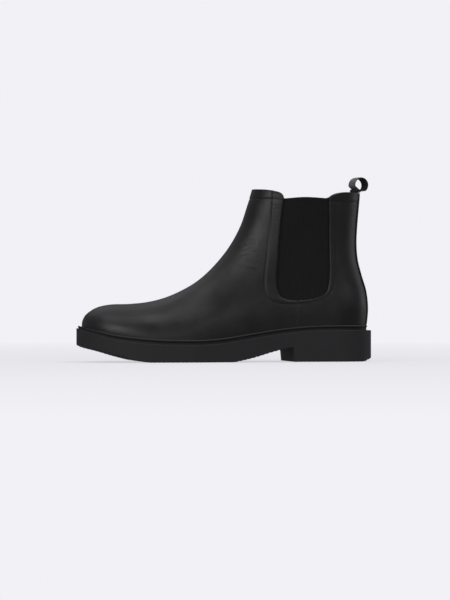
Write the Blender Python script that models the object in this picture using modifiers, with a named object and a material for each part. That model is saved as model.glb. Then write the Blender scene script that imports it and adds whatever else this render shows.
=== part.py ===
"""Chelsea boot for the left foot, men's EU 42, as an assembly of separate pieces.

The toe points along -X, the outer side of the foot faces -Y and +Z is up. The origin lies on the
ground under the middle of the sole. Dimensions are millimetres and become metres in the meshes.

The upper is drawn in its side view, as points (x, z). skin_y() gives the place of the leather's
outer face across the foot at any such point, and each layer of the upper is a patch of that skin,
pushed inwards by its depth.
"""
import math

import bmesh
import bpy
import numpy as np

MM = 0.001
COLLECTION = "chelsea_boot"
LATERAL, MEDIAL = -1, 1
GAP = 0.3

# Upper, side view
TOE_TIP = -147.0
RIDGE = [(TOE_TIP, 39.5), (-146.2, 42.6), (-143.3, 47.5), (-137.4, 52.3), (-129.9, 56.0), (-117.4, 58.5),
         (-99.4, 59.0), (-79.9, 61.0), (-60.9, 65.8), (-40.9, 74.8), (-25.8, 84.5), (-6.9, 102.7),
         (7.0, 121.2), (16.8, 139.7), (23.2, 158.2), (29.0, 176.6)]
BACK = [(145.3, 31.0), (147.0, 44.0), (147.6, 56.0), (145.8, 72.0), (141.0, 88.0), (136.9, 104.0),
        (135.5, 120.0), (136.1, 137.0), (137.6, 155.0), (139.2, 173.0)]
FRONT_TAB = [(54.6, 166.6), (54.0, 169.6), (51.4, 172.5), (46.4, 174.3), (39.6, 175.6), RIDGE[-1]]
REAR_TAB = [(101.5, 166.7), (104.8, 169.3), (109.2, 171.3), (116.1, 172.7), (126.6, 173.4), BACK[-1]]
GUSSET_TOP = [FRONT_TAB[0], (76.6, 167.6), REAR_TAB[0]]
OPENING = [FRONT_TAB[0], (51.2, 138.0), (48.8, 105.0), (47.5, 80.0), (50.8, 67.6), (58.6, 63.2),
           (73.9, 62.8), (89.1, 65.5), (98.6, 70.3), (101.8, 80.0), (102.5, 125.0), REAR_TAB[0]]
FRONT_CORNER, SEAM_TOP, REAR_CORNER = 4, 6, 8
SEAM_FOOT_X = 72.2
FRONT_RISER_X = 49.6
REAR_RISER_X = 100.1
RIDGE_BREAKS = (-13.4, 10.6)

# Upper, width of each half and the way it rounds over
CENTRE_LINE = [(-150.0, 7.6), (-100.0, 5.2), (-50.0, 2.1), (0.0, 0.3), (60.0, 0.0), (150.0, 0.0)]
FEATHER_HALF_WIDTH = {
    LATERAL: [(-147.0, 53.0), (-108.0, 50.5), (-78.0, 51.0), (-48.0, 50.6), (-15.0, 45.0), (20.0, 37.5),
              (60.0, 32.8), (100.0, 32.3), (147.0, 33.0)],
    MEDIAL: [(-147.0, 43.0), (-108.0, 42.5), (-78.0, 45.0), (-48.0, 43.7), (-15.0, 36.2), (20.0, 30.6),
             (60.0, 29.9), (100.0, 31.8), (147.0, 33.0)],
}
SHAFT_HALF_WIDTH = [(60.0, 34.0), (110.0, 33.5), (177.0, 38.0)]
SHAFT_BLEND_HEIGHT = 75.0
TOE_ROUND = 62.0
RIDGE_ROUND = [(50.0, 42.0), (100.0, 44.0), (177.0, 52.0)]
BACK_ROUND = [(30.0, 37.0), (100.0, 40.0), (177.0, 50.0)]
ROUND_POWER = 2.2
SLICE_POWER = 2.3
SLICE_BULGE = 0.05
SLICES_END, SHAFT_START = -90.0, -30.0
SIDE_BULGE, SIDE_BULGE_HEIGHT, SIDE_BULGE_REACH = 1.8, 22.0, 18.0

# Layers of the upper, from the outside in
LEATHER = 1.3
BETWEEN = LEATHER + 0.6
GUSSET_THICKNESS, GUSSET_MARGIN = 1.1, 7.0
PUFF_THICKNESS, PUFF_END_X = 1.0, -105.4
COUNTER_THICKNESS = 1.1
COUNTER_FRONT_FOOT_X, COUNTER_FRONT_TOP, COUNTER_BACK_Z = 98.6, (116.6, 84.0), 92.0
TAILS_THICKNESS, TAILS_LENGTH = 1.1, 27.0
LINING_DEPTH, LINING_THICKNESS = 3.6, 1.0
STRIP_THICKNESS, STRIP_HALF_WIDTH = 1.2, 8.0
SEAM_HALF_GAP = GAP / 2 + 0.05

# Steps of the upper's meshes: along the toe, up the riser, along the gusset's edge, and so on
LEATHER_STEPS = {"along": 20, "riser": 5, "edge": 10, "block": 3, "over": 11}
LINING_STEPS = {"along": 17, "riser": 5, "edge": 8, "block": 3, "over": 9}
QUARTER_STEPS = {"riser": 5, "edge": 12, "block": 3, "across": 10}
QUARTER_LINING_STEPS = {"riser": 5, "edge": 10, "block": 3, "across": 8}
GUSSET_STEPS = {"across": 7, "up": 10}
PUFF_STEPS = {"along": 12, "over": 9}
COUNTER_STEPS = {"up": 8, "across": 9}
STRIP_STEPS, TAILS_STEPS, BAND_STEPS_ACROSS = 18, 6, 6
OUTLINE_STEPS = 34
BACK_PROBE_DEPTH, BACK_PROBES = 9.0, 79
EASE, PLAN_EASE = 0.2, 0.12

# Sole unit
SOLE_TOP = [(-153.6, 34.9), (-143.0, 30.0), (-131.1, 26.2), (-119.4, 22.9), (-103.4, 20.7), (-87.4, 19.1),
            (-71.1, 18.0), (-38.4, 17.5), (-20.7, 18.2), (-3.8, 20.1), (28.6, 25.2), (58.6, 29.3),
            (88.6, 31.7), (112.6, 32.1), (152.4, 31.8)]
FOREPART_BOTTOM = [(-153.6, 18.0), (-146.9, 15.0), (-127.4, 10.0), (-107.4, 4.3), (-90.4, 0.5), (-83.4, 0.0),
                   (0.6, 0.0), (8.1, 1.2), (21.6, 4.1), (43.6, 10.4), (64.1, 15.3)]
HEEL_BOTTOM = [(65.6, 0.0), (140.1, 0.0), (152.4, 4.1)]
SOLE_STAND = [(-147.0, 5.4), (-120.0, 5.4), (105.0, 5.3), (145.0, 6.95)]
RIB_PITCH, RIB_TIP, RIB_DEPTH, RIB_SLOPE = 4.7, 2.9, 1.0, 0.4
WELT_STAND = [(-147.0, 2.0), (-120.0, 2.9), (145.0, 2.9)]
WELT_HEIGHT = 5.0
WELT_NECK, WELT_NECK_TOP, WELT_BEAD_LOW = 0.7, 2.0, 2.6
WELT_BEVEL, WELT_BEVEL_DROP = 0.7, 0.8
SOLE_TOP_STEPS = 30
CREASE_ANGLE = math.radians(40.0)
WIDER_THAN_SOLE = 80.0

# Insole stack: heights over the sole unit's top face
FILLER_LOW, FILLER_THICKNESS, FILLER_INSET, FILLER_END_X = GAP, 2.2, 3.0, -16.0
BOARD_LOW, BOARD_THICKNESS, BOARD_INSET = 2.8, 2.0, 2.4
LINING_LIFT = BOARD_LOW + BOARD_THICKNESS + GAP + 0.2
SHANK_LOW, SHANK_THICKNESS, SHANK_HALF_WIDTH = 1.0, 1.2, 6.5
SHANK_START_X, SHANK_END_X, SHANK_Y = -12.0, 92.0, 0.0
RIVET_RADIUS, RIVET_HEAD_RADIUS, RIVET_HEAD, RIVET_FOOT = 1.6, 3.2, 0.35, GAP + 0.1
RIVET_X = {"front": -2.0, "rear": 82.0}
PAD_LOW, PAD_THICKNESS, PAD_INSET, PAD_START_X = 5.1, 2.0, 8.0, 94.0
SOCK_THICKNESS, SOCK_INSET, SOCK_RISE_X = 1.3, 5.6, (72.0, 91.0)
SHEET_END = 1.0
HOLE_OVERRUN = 2.0
BOARD_STEPS, FILLER_STEPS, SHANK_STEPS, PAD_STEPS, SOCK_STEPS = 22, 14, 16, 10, 30
SHEET_STEPS_ACROSS, SHANK_STEPS_ACROSS, RIVET_STEPS = 6, 2, 20

# Pull loop
LOOP_WIDTH, LOOP_THICKNESS = 16.0, 1.4
LOOP_RADIUS = 8.0
LOOP_CENTRE = (140.5, 181.9)
LOOP_NECK_RADIUS = 1.4
LOOP_PIVOT = (136.0, 175.2)
LOOP_TWIST = math.radians(12.0)
RING_STEPS, NECK_STEPS = 28, 8

# Finishes: base colour, roughness, metallic
FINISHES = {
    "black_leather": ((0.030, 0.029, 0.031), 0.42, 0.0),
    "black_elastic": ((0.008, 0.008, 0.008), 0.90, 0.0),
    "black_lining": ((0.020, 0.020, 0.021), 0.85, 0.0),
    "black_webbing": ((0.030, 0.030, 0.031), 0.75, 0.0),
    "black_rubber": ((0.017, 0.017, 0.018), 0.62, 0.0),
    "sock_leather": ((0.022, 0.021, 0.022), 0.55, 0.0),
    "fibre_stiffener": ((0.55, 0.50, 0.42), 0.80, 0.0),
    "insole_fibre": ((0.42, 0.33, 0.22), 0.85, 0.0),
    "cork": ((0.45, 0.28, 0.15), 0.90, 0.0),
    "latex_foam": ((0.62, 0.56, 0.42), 0.90, 0.0),
    "shank_steel": ((0.45, 0.46, 0.48), 0.35, 1.0),
    "rivet_steel": ((0.55, 0.55, 0.56), 0.35, 1.0),
}
SHEET_FINISHES = {
    "insole_board": "insole_fibre",
    "filler": "cork",
    "shank": "shank_steel",
    "heel_pad": "latex_foam",
    "sock_liner": "sock_leather",
}


# Curves -----------------------------------------------------------------------------------------

def smooth_line(points, per_span=12):
    """Dense polyline of the centripetal Catmull-Rom curve through the points."""
    knots = np.array(points, float)
    knots = np.vstack([2 * knots[0] - knots[1], knots, 2 * knots[-1] - knots[-2]])
    line = []
    for p0, p1, p2, p3 in zip(knots, knots[1:], knots[2:], knots[3:]):
        t1 = np.linalg.norm(p1 - p0) ** 0.5
        t2 = t1 + np.linalg.norm(p2 - p1) ** 0.5
        t3 = t2 + np.linalg.norm(p3 - p2) ** 0.5
        t = np.linspace(t1, t2, per_span, endpoint=False)[:, None]
        a1 = ((t1 - t) * p0 + t * p1) / t1
        a2 = ((t2 - t) * p1 + (t - t1) * p2) / (t2 - t1)
        a3 = ((t3 - t) * p2 + (t - t2) * p3) / (t3 - t2)
        b1 = ((t2 - t) * a1 + t * a2) / t2
        b2 = ((t3 - t) * a2 + (t - t1) * a3) / (t3 - t1)
        line.append(((t2 - t) * b1 + (t - t1) * b2) / (t2 - t1))
    return np.vstack(line + [knots[-2]])


def graph(points):
    """Smooth function through the points, without overshoot between them."""
    xs, ys = np.array(points, float).T
    steps = np.diff(ys) / np.diff(xs)
    slopes = np.concatenate([steps[:1], np.zeros(len(xs) - 2), steps[-1:]])
    for i in range(1, len(xs) - 1):
        if steps[i - 1] * steps[i] > 0:
            slopes[i] = 2 / (1 / steps[i - 1] + 1 / steps[i])

    def value(x):
        x = np.clip(x, xs[0], xs[-1])
        i = np.clip(np.searchsorted(xs, x) - 1, 0, len(xs) - 2)
        span = xs[i + 1] - xs[i]
        t = (x - xs[i]) / span
        start = ys[i] * (1 + 2 * t) * (1 - t) ** 2 + slopes[i] * span * t * (1 - t) ** 2
        return start + ys[i + 1] * t * t * (3 - 2 * t) + slopes[i + 1] * span * t * t * (t - 1)

    return value


def smoothstep(t):
    t = np.clip(t, 0.0, 1.0)
    return t * t * (3 - 2 * t)


def lengths(line):
    """Distance along a polyline at each of its points, as fractions of the whole."""
    run = np.concatenate([[0.0], np.cumsum(np.linalg.norm(np.diff(line, axis=0), axis=1))])
    return run / run[-1]


def spaced(line, fractions):
    """Points at the given fractions of a polyline's length."""
    at = lengths(line)
    return np.column_stack([np.interp(fractions, at, line[:, k]) for k in range(line.shape[1])])


def even(count):
    """Fractions from 0 to 1 in count even steps."""
    return np.linspace(0.0, 1.0, count + 1)


def ease(count, start=False, end=False, softness=EASE):
    """Fractions from 0 to 1 in count steps, packed closer where the surface turns a silhouette."""
    t = np.linspace(0.0, 1.0, count + 1)
    if start and end:
        near = ease(count, start=True, softness=softness)
        return near * (1 - t) + (1 - near[::-1]) * t
    if start:
        return t * t * (1 + softness) / (t + softness)
    if end:
        return 1 - ease(count, start=True, softness=softness)[::-1]
    return t


def distance(points, line):
    """Distance from each point to the nearest place on a polyline."""
    start, run = line[:-1], np.diff(line, axis=0)
    away = points[:, None, :] - start[None]
    t = np.clip((away * run).sum(2) / (run * run).sum(1), 0.0, 1.0)
    return np.linalg.norm(away - t[..., None] * run, axis=2).min(1)


def normals(line, closed=False):
    """Unit vectors to the right of a polyline's direction."""
    if closed:
        run = np.roll(line, -1, axis=0) - np.roll(line, 1, axis=0)
    else:
        run = np.gradient(line, axis=0)
    right = np.column_stack([run[:, 1], -run[:, 0]])
    return right / np.linalg.norm(right, axis=1)[:, None]


# Shape of the foot ------------------------------------------------------------------------------

ridge_line = smooth_line(RIDGE)
back_line = smooth_line(BACK)
opening_line = smooth_line(OPENING)
sole_top = graph(SOLE_TOP)
forepart_bottom = graph(FOREPART_BOTTOM)
centre_y = graph(CENTRE_LINE)
feather_half = {side: graph(points) for side, points in FEATHER_HALF_WIDTH.items()}
shaft_half = graph(SHAFT_HALF_WIDTH)
ridge_round = graph(RIDGE_ROUND)
back_round = graph(BACK_ROUND)
sole_stand = graph(SOLE_STAND)


def feather_z(x):
    """Height of the upper's lower edge, just over the sole unit."""
    return sole_top(x) + GAP


def ridge_z(x):
    return np.interp(x, ridge_line[:, 0], ridge_line[:, 1])


def back_x(z):
    return np.interp(z, back_line[:, 1], back_line[:, 0])


def roundness(depth, radius, power=ROUND_POWER):
    """0 on a silhouette, 1 where the surface has turned to face sideways."""
    return (1 - (1 - np.clip(depth / radius, 0.0, 1.0)) ** power) ** (1 / power)


def skin_y(points, side):
    """Place across the foot of the leather's outer face, at side-view points."""
    points = np.asarray(points, float)
    x, z = points[:, 0], points[:, 1]
    low = feather_half[side](x)
    over_feather = z - feather_z(x)
    rise = np.clip(over_feather / (ridge_z(x) - feather_z(x)), 0.0, 1.0)
    slice_shape = np.sqrt(1 - rise ** SLICE_POWER) + SLICE_BULGE * np.sin(np.pi * rise) * (1 - rise)
    forepart = low * roundness(x - TOE_TIP, TOE_ROUND, 2.0) * slice_shape
    bulge = SIDE_BULGE * np.exp(-((over_feather - SIDE_BULGE_HEIGHT) / SIDE_BULGE_REACH) ** 2)
    width = low + (shaft_half(z) - low) * smoothstep(over_feather / SHAFT_BLEND_HEIGHT) + bulge
    front = roundness(distance(points, ridge_line), ridge_round(z))
    back = roundness(distance(points, back_line), back_round(z))
    blend = smoothstep((x - SLICES_END) / (SHAFT_START - SLICES_END))
    return centre_y(x) + side * ((1 - blend) * forepart + blend * width * front * back)


def feather_points(start_x, end_x, fractions, lift=0.0):
    x = start_x + (end_x - start_x) * fractions
    return np.column_stack([x, feather_z(x) + lift])


def outline(lift=0.0):
    """Plan of the upper over its lower edge: outer side from toe to heel, then back on the inner side."""
    heel = back_x(feather_z(BACK[0][0]) + lift)
    x = TOE_TIP + (heel - TOE_TIP) * ease(OUTLINE_STEPS, start=True, end=True, softness=PLAN_EASE)
    side_view = np.column_stack([x, feather_z(x) + lift])
    outer = np.column_stack([x, skin_y(side_view, LATERAL)])
    inner = np.column_stack([x, skin_y(side_view, MEDIAL)])
    outer[[0, -1], 1] = inner[[0, -1], 1] = centre_y(x[[0, -1]])
    return np.vstack([outer, inner[-2:0:-1]])


def offset_outline(stand):
    """The plan outline moved outwards by stand, a number or one value for each point."""
    line = outline()
    return line + normals(line, closed=True) * np.broadcast_to(stand, len(line))[:, None]


# Meshes -----------------------------------------------------------------------------------------

def clear_scene():
    for item in list(bpy.data.objects):
        bpy.data.objects.remove(item, do_unlink=True)


def collection(name):
    group = bpy.data.collections.new(name)
    bpy.context.scene.collection.children.link(group)
    return group


def material(name):
    colour, roughness, metallic = FINISHES[name]
    made = bpy.data.materials.get(name) or bpy.data.materials.new(name)
    made.use_nodes = True
    surface = made.node_tree.nodes["Principled BSDF"]
    surface.inputs["Base Color"].default_value = (*colour, 1.0)
    surface.inputs["Roughness"].default_value = roughness
    surface.inputs["Metallic"].default_value = metallic
    return made


def add_object(name, mesh, group, finish=None):
    item = bpy.data.objects.new(name, mesh)
    group.objects.link(item)
    if finish:
        mesh.materials.append(finish)
    return item


def add_grid(bm, grid, outward):
    """Faces over a grid of points in millimetres, turned so that their sum faces outward."""
    rows = [[bm.verts.new(point * MM) for point in row] for row in grid]
    across = np.cross(grid[1:, :-1] - grid[:-1, :-1], grid[:-1, 1:] - grid[:-1, :-1]).sum((0, 1))
    flip = np.dot(across, outward) < 0
    for low, high in zip(rows, rows[1:]):
        for a, b, c, d in zip(low, high, high[1:], low[1:]):
            bm.faces.new((a, d, c, b) if flip else (a, b, c, d))


def surface_object(name, grids, group, finish):
    """An open surface from grids that share their edges; each grid comes with its outward direction."""
    bm = bmesh.new()
    for grid, outward in grids:
        add_grid(bm, grid, outward)
    bmesh.ops.remove_doubles(bm, verts=bm.verts, dist=0.02 * MM)
    for face in bm.faces:
        face.smooth = True
    mesh = bpy.data.meshes.new(name)
    bm.to_mesh(mesh)
    bm.free()
    return add_object(name, mesh, group, finish)


def thicken(item, depth, thickness):
    """Make a layer whose outer face lies depth under the surface (over it where depth is negative)."""
    layer = item.modifiers.new("thickness", "SOLIDIFY")
    layer.thickness = thickness * MM
    layer.offset = -(1 + 2 * depth / thickness)
    layer.use_quality_normals = True


def coons(bottom, top, left, right):
    """Grid over the patch between four lines of points that meet at its corners."""
    u = ((lengths(bottom) + lengths(top)) / 2)[None, :, None]
    v = ((lengths(left) + lengths(right)) / 2)[:, None, None]
    sides = (1 - v) * bottom[None] + v * top[None] + (1 - u) * left[:, None] + u * right[:, None]
    corners = (1 - v) * ((1 - u) * bottom[0] + u * bottom[-1]) + v * ((1 - u) * top[0] + u * top[-1])
    return sides - corners


def on_skin(chart, side, clear_of_centre=0.0):
    """A side-view grid lifted on to the skin, kept clear of the centre plane where asked."""
    flat = chart.reshape(-1, 2)
    y = skin_y(flat, side)
    if clear_of_centre:
        y = side * np.maximum(side * y, clear_of_centre)
    points = np.column_stack([flat[:, 0], y, flat[:, 1]])
    return points.reshape(chart.shape[0], chart.shape[1], 3), (0.0, side, 0.0)


def flat_solid(name, outlines, half_depth, group, rotation=(0.0, 0.0, 0.0), finish=None):
    """Outlines in millimetres, filled and extruded both ways, as a welded mesh."""
    curve = bpy.data.curves.new(name, "CURVE")
    curve.dimensions = "2D"
    curve.fill_mode = "BOTH"
    curve.extrude = half_depth * MM
    for points in outlines:
        spline = curve.splines.new("POLY")
        spline.points.add(len(points) - 1)
        for place, (x, y) in zip(spline.points, points):
            place.co = (x * MM, y * MM, 0.0, 1.0)
        spline.use_cyclic_u = True
    drawn = add_object(name + "_outline", curve, group)
    drawn.rotation_euler = rotation
    bpy.context.view_layer.update()
    evaluated = drawn.evaluated_get(bpy.context.evaluated_depsgraph_get())
    mesh = bpy.data.meshes.new_from_object(evaluated)
    bm = bmesh.new()
    bm.from_mesh(mesh)
    bmesh.ops.remove_doubles(bm, verts=bm.verts, dist=0.01 * MM)
    bmesh.ops.recalc_face_normals(bm, faces=bm.faces)
    bm.to_mesh(mesh)
    bm.free()
    item = add_object(name, mesh, group, finish)
    item.matrix_world = drawn.matrix_world
    bpy.data.objects.remove(drawn, do_unlink=True)
    return item


def cut(item, cutter, operation="DIFFERENCE"):
    cutter.hide_render = True
    cutter.display_type = "WIRE"
    boolean = item.modifiers.new(operation.lower(), "BOOLEAN")
    boolean.operation = operation
    boolean.object = cutter
    boolean.solver = "EXACT"


SIDE_VIEW = (math.radians(90.0), 0.0, 0.0)


# Upper ------------------------------------------------------------------------------------------

def opening_part(first, last, count, line=opening_line):
    """Points along the gusset opening between two of its named outline points."""
    per_span = (len(opening_line) - 1) // (len(OPENING) - 1)
    return spaced(line[first * per_span:last * per_span + 1], even(count))


def ridge_part(start_x, end_x, fractions):
    line = ridge_line[(ridge_line[:, 0] > start_x) & (ridge_line[:, 0] < end_x)]
    start = (start_x, ridge_z(start_x)) if start_x > TOE_TIP else RIDGE[0]
    end = (end_x, ridge_z(end_x)) if end_x < RIDGE[-1][0] else RIDGE[-1]
    return spaced(np.vstack([start, line, end]), fractions)


def vamp_charts(steps, lift):
    """Two side-view patches: the toe with the shaft's front, and the block under the gusset."""
    along, riser, edge, block, over = steps.values()
    foot_x = FRONT_RISER_X
    seam_gap = np.array([-SEAM_HALF_GAP, 0.0])
    corner = np.array(OPENING[FRONT_CORNER])
    foot = np.array([foot_x, feather_z(foot_x) + lift])
    riser_points = foot + (corner - foot) * even(riser)[:, None]
    bottom = np.vstack([feather_points(TOE_TIP, foot_x, ease(along, start=True), lift)[:-1],
                        riser_points[:-1],
                        opening_part(0, FRONT_CORNER, edge)[::-1]])
    top = np.vstack([ridge_part(TOE_TIP, RIDGE_BREAKS[0], ease(along, start=True))[:-1],
                     ridge_part(*RIDGE_BREAKS, even(riser))[:-1],
                     ridge_part(RIDGE_BREAKS[1], RIDGE[-1][0], even(edge))])
    nose = np.array([bottom[0], top[0]])
    left = spaced(nose, ease(over, end=True))
    right = spaced(smooth_line(FRONT_TAB), ease(over, end=True))
    seam_foot = np.array([SEAM_FOOT_X, feather_z(SEAM_FOOT_X) + lift]) + seam_gap
    seam_top = np.array(OPENING[SEAM_TOP]) + seam_gap
    seam = seam_foot + (seam_top - seam_foot) * even(riser)[:, None]
    under = opening_part(FRONT_CORNER, SEAM_TOP, block) + seam_gap * even(block)[:, None]
    foot_line = feather_points(foot_x, SEAM_FOOT_X - SEAM_HALF_GAP, even(block), lift)
    return [coons(bottom, top, left, right), coons(foot_line, under, riser_points, seam)]


def quarter_charts(steps, lift):
    """Two side-view patches: the block under the gusset, and the panel from there to the back seam."""
    riser, edge, block, across = steps.values()
    seam_gap = np.array([SEAM_HALF_GAP, 0.0])
    corner = np.array(OPENING[REAR_CORNER])
    foot = np.array([REAR_RISER_X, feather_z(REAR_RISER_X) + lift])
    riser_points = foot + (corner - foot) * even(riser)[:, None]
    seam_foot = np.array([SEAM_FOOT_X, feather_z(SEAM_FOOT_X) + lift]) + seam_gap
    seam_top = np.array(OPENING[SEAM_TOP]) + seam_gap
    seam = seam_foot + (seam_top - seam_foot) * even(riser)[:, None]
    under = opening_part(SEAM_TOP, REAR_CORNER, block) + seam_gap * even(block)[::-1][:, None]
    foot_line = feather_points(SEAM_FOOT_X + SEAM_HALF_GAP, REAR_RISER_X, even(block), lift)
    left = np.vstack([riser_points[:-1], opening_part(REAR_CORNER, len(OPENING) - 1, edge)])
    back_foot_z = feather_z(BACK[0][0]) + lift
    z = np.linspace(back_foot_z, BACK[-1][1], riser + edge + 1)
    right = np.column_stack([back_x(z), z])
    bottom = feather_points(REAR_RISER_X, right[0, 0], ease(across, end=True), lift)
    top = spaced(smooth_line(REAR_TAB), ease(across, end=True))
    return [coons(foot_line, under, seam, riser_points), coons(bottom, top, left, right)]


def gusset_chart():
    """The elastic's outline: the opening with a hidden margin on three sides."""
    across, up = GUSSET_STEPS.values()
    line = opening_line + normals(opening_line) * GUSSET_MARGIN
    front = opening_part(0, FRONT_CORNER, up, line)[::-1]
    bottom = opening_part(FRONT_CORNER, REAR_CORNER, across, line)
    rear = opening_part(REAR_CORNER, len(OPENING) - 1, up, line)
    top_line = np.vstack([front[-1], smooth_line(GUSSET_TOP)[1:-1], rear[-1]])
    return coons(bottom, spaced(top_line, even(across)), front, rear)


def puff_chart():
    along, over = PUFF_STEPS.values()
    bottom = feather_points(TOE_TIP, PUFF_END_X, ease(along, start=True), LINING_LIFT)
    top = ridge_part(TOE_TIP, PUFF_END_X, ease(along, start=True))
    fractions = ease(over, end=True)
    left = spaced(np.array([bottom[0], top[0]]), fractions)
    right = spaced(np.array([bottom[-1], top[-1]]), fractions)
    return coons(bottom, top, left, right)


def counter_chart():
    up, across = COUNTER_STEPS.values()
    fractions = ease(across, end=True)
    z = np.linspace(feather_z(BACK[0][0]) + LINING_LIFT, COUNTER_BACK_Z, up + 1)
    right = np.column_stack([back_x(z), z])
    bottom = feather_points(COUNTER_FRONT_FOOT_X, right[0, 0], fractions, LINING_LIFT)
    top = spaced(np.array([COUNTER_FRONT_TOP, right[-1]]), fractions)
    left = spaced(np.array([bottom[0], COUNTER_FRONT_TOP]), even(up))
    return coons(bottom, top, left, right)


def back_band(low_z, high_z, half_width, up):
    """Grid of the skin along the back, out to half_width each side of the centre plane."""
    grid = []
    inward = BACK_PROBE_DEPTH * even(BACK_PROBES) ** 2
    for z in np.linspace(low_z, high_z, up + 1):
        row = []
        probe = np.column_stack([back_x(z) - inward, np.full_like(inward, z)])
        for y in half_width * (2 * even(BAND_STEPS_ACROSS) - 1):
            side = MEDIAL if y > 0 else LATERAL
            depth = np.interp(abs(y), side * skin_y(probe, side), inward)
            row.append((back_x(z) - depth, y, z))
        grid.append(row)
    return np.array(grid), (1.0, 0.0, 0.0)


def panel(name, charts_by_side, depth, thickness, group, finish, clear_of_centre=0.0):
    grids = []
    for side, charts in charts_by_side.items():
        grids += [on_skin(chart, side, clear_of_centre) for chart in charts]
    thicken(surface_object(name, grids, group, finish), depth, thickness)


def build_upper(parts):
    leather = material("black_leather")
    elastic = material("black_elastic")
    lining = material("black_lining")
    stiffener = material("fibre_stiffener")
    vamp = vamp_charts(LEATHER_STEPS, 0.0)
    panel("vamp", {LATERAL: vamp, MEDIAL: vamp}, 0.0, LEATHER, parts, leather)
    quarter = quarter_charts(QUARTER_STEPS, 0.0)
    panel("quarter_lateral", {LATERAL: quarter}, 0.0, LEATHER, parts, leather, SEAM_HALF_GAP)
    panel("quarter_medial", {MEDIAL: quarter}, 0.0, LEATHER, parts, leather, SEAM_HALF_GAP)
    gusset = [gusset_chart()]
    panel("gusset_lateral", {LATERAL: gusset}, BETWEEN, GUSSET_THICKNESS, parts, elastic)
    panel("gusset_medial", {MEDIAL: gusset}, BETWEEN, GUSSET_THICKNESS, parts, elastic)
    vamp = vamp_charts(LINING_STEPS, LINING_LIFT)
    panel("vamp_lining", {LATERAL: vamp, MEDIAL: vamp}, LINING_DEPTH, LINING_THICKNESS, parts, lining)
    quarter = quarter_charts(QUARTER_LINING_STEPS, LINING_LIFT)
    quarters = {LATERAL: quarter, MEDIAL: quarter}
    panel("quarter_lining", quarters, LINING_DEPTH, LINING_THICKNESS, parts, lining)
    puff = [puff_chart()]
    panel("toe_puff", {LATERAL: puff, MEDIAL: puff}, BETWEEN, PUFF_THICKNESS, parts, stiffener)
    counter = [counter_chart()]
    counters = {LATERAL: counter, MEDIAL: counter}
    panel("heel_counter", counters, BETWEEN, COUNTER_THICKNESS, parts, stiffener)
    strip_foot = sole_top(BACK[0][0]) + WELT_HEIGHT + GAP
    band = back_band(strip_foot, BACK[-1][1], STRIP_HALF_WIDTH, STRIP_STEPS)
    strip = surface_object("back_strip", [band], parts, leather)
    thicken(strip, -(GAP + STRIP_THICKNESS), STRIP_THICKNESS)


# Pull loop --------------------------------------------------------------------------------------

def arc(centre, radius, start, end, count):
    angles = np.linspace(start, end, count)
    return [(centre[0] + radius * math.cos(a), centre[1] + radius * math.sin(a)) for a in angles]


def teardrop(centre, radius, tip, tip_radius):
    """Outline round a large circle and a small one, with straight sides between them."""
    axis = np.array(centre) - np.array(tip)
    heading = math.atan2(axis[1], axis[0])
    reach = math.acos(-(radius - tip_radius) / np.linalg.norm(axis))
    ring = arc(centre, radius, heading - reach, heading + reach, RING_STEPS)
    return ring + arc(tip, tip_radius, heading + reach, heading + 2 * math.pi - reach, NECK_STEPS)


def build_pull_loop(parts):
    webbing = material("black_webbing")
    pivot = np.array(LOOP_PIVOT)
    centre = np.array(LOOP_CENTRE) - pivot
    outer = teardrop(centre, LOOP_RADIUS, (0.0, 0.0), LOOP_NECK_RADIUS)
    hole = arc(centre, LOOP_RADIUS - LOOP_THICKNESS, 0.0, 2 * math.pi, RING_STEPS + 1)[:-1]
    turned = (SIDE_VIEW[0], SIDE_VIEW[1], LOOP_TWIST)
    loop = flat_solid("pull_loop", [outer, hole], LOOP_WIDTH / 2, parts, turned, webbing)
    loop.location = (pivot[0] * MM, 0.0, pivot[1] * MM)
    tails_top = BACK[-1][1]
    band = back_band(tails_top - TAILS_LENGTH, tails_top, LOOP_WIDTH / 2, TAILS_STEPS)
    tails = surface_object("pull_loop_tails", [band], parts, webbing)
    thicken(tails, BETWEEN, TAILS_THICKNESS)


# Sole -------------------------------------------------------------------------------------------

def ribbed(bottom, start_x, end_x):
    """Side view of a ribbed tread between two places, with flat-tipped ribs along the bottom curve."""
    points = [(start_x, bottom(start_x))]
    x = start_x + RIB_TIP
    while x + RIB_PITCH < end_x:
        groove_end = x + RIB_PITCH - RIB_TIP
        points += [(x, bottom(x)), (x + RIB_SLOPE, bottom(x) + RIB_DEPTH)]
        points += [(groove_end - RIB_SLOPE, bottom(groove_end) + RIB_DEPTH)]
        points += [(groove_end, bottom(groove_end))]
        x += RIB_PITCH
    return points + [(end_x, bottom(end_x))]


def heel_bottom(x):
    return np.interp(x, *np.array(HEEL_BOTTOM).T)


def build_outsole(parts, cutters):
    """The side view, extruded across and cut to the plan of the sole."""
    start_x, end_x = SOLE_TOP[0][0] - SHEET_END, SOLE_TOP[-1][0] + SHEET_END
    top_x = np.linspace(end_x, start_x, SOLE_TOP_STEPS)
    top = list(zip(top_x, sole_top(top_x)))
    forepart = ribbed(forepart_bottom, start_x, FOREPART_BOTTOM[-1][0])
    heel = ribbed(heel_bottom, HEEL_BOTTOM[0][0], end_x)
    finish = material("black_rubber")
    sole = flat_solid("outsole", [forepart + heel + top], WIDER_THAN_SOLE, parts, SIDE_VIEW, finish)
    plan = offset_outline(sole_stand(outline()[:, 0]))
    cut(sole, flat_solid("sole_plan_cutter", [plan], WIDER_THAN_SOLE, cutters), "INTERSECT")


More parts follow.
